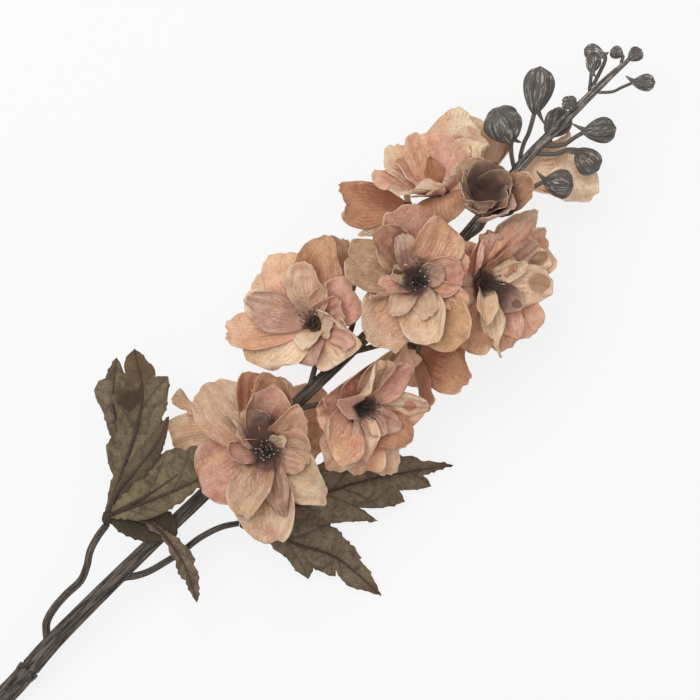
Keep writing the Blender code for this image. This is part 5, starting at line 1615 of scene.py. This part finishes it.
def petal_finish(settings):
    """Dyed cloth: a ground colour, soft patches, painted shade towards the bloom's heart, fanning veins, a
    pale cut edge and a dark throat.
    """
    f = Finish("petal_cloth", settings.roughness)
    at = f.moved(f.value("seed"))
    reach, rim, seed = f.value("reach"), f.value("rim"), f.value("seed")
    broad = f.noise(62, 4.0, at, 0.6, 0.5)
    patch = f.smooth(broad, 0.42, 0.66)
    base = f.mix(f.times(patch, settings.patchiness), f.colour("tint"), f.colour("patch"))
    yellow = f.smooth(f.noise(75, 3.0, f.moved(seed, 0.83)), 0.50, 0.68)
    base = f.mix(f.times(yellow, 0.55), base, settings.gold)
    mottle = f.smooth(f.noise(330, 5.0, f.moved(seed, 0.61), 0.7), 0.46, 0.72)
    base = f.mix(f.times(mottle, 0.42), base, f.mix(1.0, base, (0.70, 0.52, 0.44), "MULTIPLY"))
    middle = f.smooth(f.noise(150, 3.0, f.moved(seed, 0.47), 0.62, 0.8), 0.50, 0.66)
    base = f.mix(f.times(middle, 0.42), base, f.colour("patch"))
    # Painted shade: each petal darkens towards its patch colour near its root, in the bloom's heart.
    painted_heart_shade = f.smooth(reach, 0.2, 0.85, 0.5, 0.0)
    base = f.mix(painted_heart_shade, base, f.colour("patch"))
    waver = f.times(f.minus(f.noise(160, 3.0, at, 0.6), 0.5), 0.42)
    wavy = f.plus(f.value("column"), waver)
    place = f.times(wavy, 6.0 * math.pi)
    fork = f.smooth(reach, 0.25, 1.0, 0.0, 0.42 * math.pi)
    main = f.times(fan_lines(f, place, 0.0, 0.30), f.smooth(reach, 0.2, 1.0, 1.0, 0.5))
    branches = f.larger(fan_lines(f, place, fork, 0.26), fan_lines(f, place, f.times(fork, -1.0), 0.26))
    branches = f.times(branches, f.smooth(reach, 0.2, 0.5, 0.0, 0.8))
    spread = f.together(f.times(wavy, 4.0), f.times(reach, 5.5), seed)
    cells = f.smooth(f.net(2.6, spread), 0.0, 0.09, 0.7, 0.0)
    net = f.times(cells, f.smooth(reach, 0.3, 0.6))
    veins = f.larger(f.larger(main, branches), net)
    fade = f.smooth(f.noise(90, 2.0, f.moved(seed, 0.29)), 0.32, 0.62, 0.35, 1.0)
    dark = f.times(f.times(veins, settings.vein_strength), fade)
    base = f.mix(dark, base, f.mix(1.0, base, (0.52, 0.33, 0.26), "MULTIPLY"))
    # A round spot of another colour on some petals, with an uneven border.
    spot_level = f.plus(f.value("blot"), f.times(f.minus(f.noise(500, 3.0, at), 0.5), 0.35))
    spot_amount = f.times(f.smooth(spot_level, 0.18, 0.42, 0.0, 0.8), f.smooth(f.value("blot"), 0.0, 0.1))
    base = f.mix(spot_amount, base, f.colour("blot_tint"))
    speck = f.smooth(f.noise(1500, 2.0, at), 0.66, 0.74, 0.0, 0.5)
    base = f.mix(speck, base, srgb(128, 82, 62))
    edge = f.smooth(rim, 0.96, 1.0)
    base = f.mix(f.times(edge, 0.5), base, srgb(226, 198, 168))
    grain = f.noise(2600, 2.0, at)
    base = f.mix(1.0, base, f.mix(grain, (0.88, 0.87, 0.86), (1.10, 1.10, 1.10)), "MULTIPLY")
    streak = f.times(f.minus(f.noise(300, 3.0, at), 0.5), 0.35)
    depth = f.math("DIVIDE", f.plus(reach, streak), f.value("throat"))
    throat = f.smooth(depth, 0.45, 1.05, 0.95, 0.0)
    base = f.mix(throat, base, settings.throat)
    weave = f.noise(3400, 1.0, at)
    low = f.bump(f.noise(420, 4.0, at, 0.6), 0.5, 0.0009)
    normal = f.bump(f.minus(f.times(weave, 0.25), veins), 0.45, 0.0003, low)
    return f.done(base, normal, Sheen_Weight=0.12, Sheen_Roughness=0.5, Specular_IOR_Level=0.25)


def core_finish():
    """The green-brown receptacle under the petals."""
    f = Finish("bloom_core", 0.75)
    blotch = f.noise(500, 3.0)
    base = f.mix(blotch, srgb(92, 84, 62), srgb(132, 112, 84))
    base = f.mix(f.smooth(f.value("reach"), 0.45, 0.7), base, srgb(84, 60, 50))
    return f.done(base, f.bump(f.noise(1500, 2.0), 0.4, 0.0003), Specular_IOR_Level=0.3)


def stamen_finish(settings):
    """Near-black threads with paler, dusty anthers."""
    f = Finish("stamen_thread", 0.7)
    dust = f.times(f.value("pale"), f.smooth(f.noise(2600, 2.0), 0.25, 0.6, 0.55, 1.0))
    base = f.mix(dust, settings.thread, settings.tip)
    return f.done(base, f.bump(f.noise(4000, 2.0), 0.4, 0.0001), Specular_IOR_Level=0.3)


def bark(f, settings):
    """(colour, normal) of grooved bark, from the turn round a stalk and the place along it."""
    turn, along = f.value("turn"), f.value("along")
    round_x, round_y = f.math("COSINE", turn), f.math("SINE", turn)
    fibres = f.noise(7.0, 4.0, f.together(round_x, round_y, f.times(along, 9.0)), 0.7)
    broad = f.noise(3.0, 2.0, f.together(round_x, round_y, f.times(along, 30.0)))
    amount = f.smooth(f.plus(fibres, f.times(f.minus(broad, 0.5), 0.5)), 0.40, 0.62)
    base = f.mix(amount, settings.dark, settings.light)
    specks = f.smooth(f.noise(420, 4.0, None, 0.7), 0.44, 0.58, 0.4, 1.0)
    dusty = f.times(f.smooth(along, 0.28, 0.42, 0.0, 1.0), f.smooth(f.plus(fibres, broad), 0.85, 1.15))
    base = f.mix(f.times(dusty, specks), base, srgb(166, 160, 152))
    base = f.mix(f.smooth(f.noise(900, 3.0), 0.58, 0.75, 0.0, 0.35), base, srgb(150, 142, 132))
    return base, f.bump(fibres, 0.6, 0.0006)


def stem_finish(settings):
    """Dark fibrous bark, warmer on the sleeve low down."""
    f = Finish("stem_bark", 0.68)
    base, normal = bark(f, settings)
    base = f.mix(f.times(f.value("sleeve"), 0.35), base, srgb(74, 62, 56))
    return f.done(base, normal, Specular_IOR_Level=0.35)


def blade_finish(settings):
    """Dyed leaf cloth: olive or grey ground, dark mottling, fine net of veins and dried tips."""
    f = Finish("leaf_blade", 0.78)
    at = f.moved(f.value("seed"))
    tone, reach = f.value("tone"), f.value("reach")
    ground = f.mix(tone, settings.green, settings.grey)
    blotch = f.smooth(f.noise(110, 6.0, at, 0.72, 0.8), 0.44, 0.62)
    base = f.mix(f.times(blotch, 0.62), ground, settings.dark)
    mottle = f.smooth(f.noise(420, 5.0, f.moved(f.value("seed"), 0.51), 0.75), 0.46, 0.64, 0.0, 0.5)
    base = f.mix(mottle, base, settings.dark)
    base = f.mix(f.times(f.value("shade"), 0.85), base, srgb(50, 44, 35))
    lime = f.smooth(f.noise(80, 3.0, f.moved(f.value("seed"), 0.9)), 0.54, 0.68, 0.0, 0.42)
    lime = f.times(lime, f.minus(1.0, f.value("shade")))
    base = f.mix(lime, base, srgb(148, 134, 98))
    uneven = f.times(f.minus(f.noise(120, 3.0, at), 0.5), 0.4)
    tips = f.smooth(f.minus(f.plus(reach, uneven), f.value("dry")), -0.06, 0.14)
    base = f.mix(f.times(tips, 0.85), base, settings.brown)
    base = f.mix(f.times(f.value("fold"), 0.85), base, srgb(66, 47, 35))
    net = f.smooth(f.net(330, at), 0.0, 0.09, 0.5, 0.0)
    lines = f.larger(f.larger(f.value("veins"), f.times(f.value("ribs"), 0.8)), net)
    base = f.mix(f.times(lines, 0.55), base, settings.rib)
    base = f.mix(f.times(f.value("margin"), 0.45), base, settings.brown)
    grain = f.noise(2300, 2.0, at)
    base = f.mix(1.0, base, f.mix(grain, (0.86, 0.86, 0.86), (1.14, 1.14, 1.14)), "MULTIPLY")
    low = f.bump(f.noise(420, 4.0, at, 0.6), 0.4, 0.0008)
    normal = f.bump(f.minus(f.times(grain, 0.3), lines), 0.45, 0.0003, low)
    return f.done(base, normal, Specular_IOR_Level=0.3, Sheen_Weight=0.08, Sheen_Roughness=0.5)


def rib_finish(settings):
    """Dark raised midribs and side veins."""
    f = Finish("leaf_rib", 0.7)
    ground = f.mix(f.value("tone"), settings.green, settings.grey)
    ground = f.mix(0.45, ground, settings.dark)
    base = f.mix(f.value("strong"), ground, settings.rib)
    base = f.mix(f.smooth(f.noise(1300, 3.0), 0.5, 0.75, 0.0, 0.35), base, srgb(128, 112, 96))
    return f.done(base, f.bump(f.noise(1800, 3.0), 0.5, 0.0003), Specular_IOR_Level=0.35)


def bud_finish(settings):
    """Dark sepals with wrinkles and a pale dusting that lies thickest on the ridges."""
    f = Finish("bud_skin", 0.72)
    turn, along, groove = f.value("turn"), f.value("along"), f.value("groove")
    round_x, round_y = f.math("COSINE", turn), f.math("SINE", turn)
    wrinkle = f.noise(7.0, 5.0, f.together(round_x, round_y, f.times(along, 0.45)), 0.7, 0.6)
    cloud = f.smooth(f.noise(190, 3.0), 0.42, 0.58, 0.15, 1.0)
    flecks = f.smooth(f.noise(700, 3.0, None, 0.7), 0.40, 0.58, 0.45, 1.0)
    dust = f.times(f.times(f.smooth(wrinkle, 0.50, 0.61), cloud), flecks)
    dust = f.times(dust, f.smooth(groove, 0.75, 1.0, 0.9, 0.35))
    dust = f.times(dust, f.value("frost"))
    base = f.mix(f.smooth(wrinkle, 0.30, 0.48, 0.75, 0.0), settings.skin, srgb(48, 43, 41))
    base = f.mix(f.smooth(f.noise(150, 3.0, f.moved(3.0)), 0.48, 0.62, 0.0, 0.45), base, srgb(96, 80, 67))
    base = f.mix(dust, base, settings.bloom)
    base = f.mix(f.smooth(groove, 0.90, 1.0, 0.0, 0.6), base, srgb(44, 40, 38))
    base = f.mix(f.smooth(along, 0.9, 1.05, 0.0, 0.5), base, srgb(60, 50, 46))
    normal = f.bump(wrinkle, 0.7, 0.0008)
    return f.done(base, normal, Specular_IOR_Level=0.35)


def stalk_finish(settings):
    """The thin stalks of the buds."""
    f = Finish("bud_stalk", 0.7)
    blotch = f.noise(900, 4.0, None, 0.65)
    base = f.mix(blotch, srgb(64, 57, 52), settings.stalk)
    base = f.mix(f.smooth(blotch, 0.55, 0.75, 0.0, 0.5), base, srgb(140, 132, 124))
    return f.done(base, f.bump(blotch, 0.5, 0.0004), Specular_IOR_Level=0.35)


def paper_finish(glow):
    """The pale even surface that the spike lies on."""
    f = Finish("pale_floor", 0.9)
    tint = f.mix(f.noise(3.0, 2.0), (0.12, 0.12, 0.12), (0.13, 0.13, 0.13))
    f.shader.inputs["Emission Color"].default_value = (1.0, 1.0, 1.0, 1.0)
    return f.done(tint, None, Emission_Strength=glow, Specular_IOR_Level=0.1)


# ------------------------------------------------------------------ operators
class BuildStem(bpy.types.Operator):
    """Build the grooved stem, the pedicels and the two leaf stalks"""

    bl_idname = "delphinium.build_stem"
    bl_label = "Stem"

    def execute(self, context):
        settings = context.scene.spike_stem
        build_stem(settings, stem_finish(settings))
        return {"FINISHED"}


class BuildBlooms(bpy.types.Operator):
    """Build the petals of every bloom about its core"""

    bl_idname = "delphinium.build_blooms"
    bl_label = "Blooms"

    def execute(self, context):
        settings = context.scene.spike_petals
        cloth, core = petal_finish(settings), core_finish()
        for bloom in BLOOMS:
            build_bloom(bloom, settings, cloth, core)
        return {"FINISHED"}


class BuildStamens(bpy.types.Operator):
    """Build the dark tuft of stamens in each open bloom"""

    bl_idname = "delphinium.build_stamens"
    bl_label = "Stamens"

    def execute(self, context):
        settings = context.scene.spike_stamens
        finish = stamen_finish(settings)
        for bloom in BLOOMS:
            if bloom.eye:
                build_stamens(bloom, settings, finish)
        return {"FINISHED"}


class BuildLeaves(bpy.types.Operator):
    """Build the two cut leaves with their ribs and veins"""

    bl_idname = "delphinium.build_leaves"
    bl_label = "Leaves"

    def execute(self, context):
        settings = context.scene.spike_leaves
        blade, rib = blade_finish(settings), rib_finish(settings)
        for name in LEAVES:
            build_leaf(name, settings, blade, rib)
        return {"FINISHED"}


class BuildBuds(bpy.types.Operator):
    """Build the ridged, spurred buds on their stalks"""

    bl_idname = "delphinium.build_buds"
    bl_label = "Buds"

    def execute(self, context):
        settings = context.scene.spike_buds
        skin, stalk = bud_finish(settings), stalk_finish(settings)
        for bud in BUDS:
            build_bud(bud, settings, skin, stalk)
        return {"FINISHED"}


class BuildStage(bpy.types.Operator):
    """Lay the pale floor and set the soft light and the camera above the spike"""

    bl_idname = "delphinium.build_stage"
    bl_label = "Stage"

    def execute(self, context):
        build_stage(context.scene, context.scene.spike_stage)
        return {"FINISHED"}


VIEW_CENTRE = Vector((287.8, -1.6, 45.0)) * MM
VIEW_WIDTH = 0.308  # of the field that the camera sees, in metres
SENSOR = 36.0  # of the camera, in millimetres
FLOOR_SIDE, FLOOR_HEIGHT = 6.0, -0.2 * MM


def build_stage(scene, settings):
    """The floor, the lamp, the even light all round and the camera."""
    mesh = bpy.data.meshes.new("floor")
    side = FLOOR_SIDE / 2
    corners = [(x, y, FLOOR_HEIGHT) for x, y in ((-side, -side), (side, -side), (side, side), (-side, side))]
    mesh.from_pydata(corners, [], [(0, 1, 2, 3)])
    floor = bpy.data.objects.new("floor", mesh)
    mesh.materials.append(paper_finish(settings.glow))
    scene.collection.objects.link(floor)
    key = bpy.data.lights.new("key_lamp", "AREA")
    key.energy = settings.key
    key.size = 1.1
    lamp = bpy.data.objects.new("key_lamp", key)
    lamp.location = VIEW_CENTRE + Vector((0.05, 0.45, 1.30))
    lamp.rotation_euler = (VIEW_CENTRE - lamp.location).to_track_quat("-Z", "Y").to_euler()
    scene.collection.objects.link(lamp)
    sky = bpy.data.worlds.new("studio_sky")
    sky.use_nodes = True
    shade = sky.node_tree.nodes["Background"]
    shade.inputs["Color"].default_value = (1.0, 1.0, 1.0, 1.0)
    shade.inputs["Strength"].default_value = settings.fill
    scene.world = sky
    scene.view_settings.view_transform = "Standard"
    lens = bpy.data.cameras.new("camera")
    lens.lens, lens.sensor_width = settings.lens, SENSOR
    lens.clip_start, lens.clip_end = 0.05, 20.0
    camera = bpy.data.objects.new("camera", lens)
    away = VIEW_WIDTH / 2 / (SENSOR / 2 / settings.lens)
    camera.location = VIEW_CENTRE + Vector((0, 0, away))
    camera.rotation_euler = (0.0, 0.0, -math.pi / 4)
    scene.collection.objects.link(camera)
    scene.camera = camera


class SpikePanel(bpy.types.Panel):
    """Lists the pieces of the spike and the settings behind them"""

    bl_idname = "VIEW3D_PT_delphinium"
    bl_label = "Delphinium Spike"
    bl_space_type = "VIEW_3D"
    bl_region_type = "UI"
    bl_category = "Delphinium"

    def draw(self, context):
        for operator, group, _ in PIECES:
            box = self.layout.box()
            box.operator(operator.bl_idname)
            settings = getattr(context.scene, group)
            for name in settings.__annotations__:
                box.prop(settings, name)


PIECES = (
    (BuildStage, "spike_stage", StageSettings),
    (BuildStem, "spike_stem", StemSettings),
    (BuildBlooms, "spike_petals", PetalSettings),
    (BuildStamens, "spike_stamens", StamenSettings),
    (BuildLeaves, "spike_leaves", LeafSettings),
    (BuildBuds, "spike_buds", BudSettings),
)


def register():
    """Registers the groups, the operators and the panel."""
    for operator, name, group in PIECES:
        bpy.utils.register_class(group)
        setattr(bpy.types.Scene, name, PointerProperty(type=group))
        bpy.utils.register_class(operator)
    bpy.utils.register_class(SpikePanel)


def unregister():
    """Takes them all out again."""
    bpy.utils.unregister_class(SpikePanel)
    for operator, name, group in reversed(PIECES):
        bpy.utils.unregister_class(operator)
        delattr(bpy.types.Scene, name)
        bpy.utils.unregister_class(group)


def main():
    register()
    bpy.ops.delphinium.build_stage()
    bpy.ops.delphinium.build_stem()
    bpy.ops.delphinium.build_blooms()
    bpy.ops.delphinium.build_stamens()
    bpy.ops.delphinium.build_leaves()
    bpy.ops.delphinium.build_buds()
    bpy.context.view_layer.update()


if __name__ == "__main__":
    main()
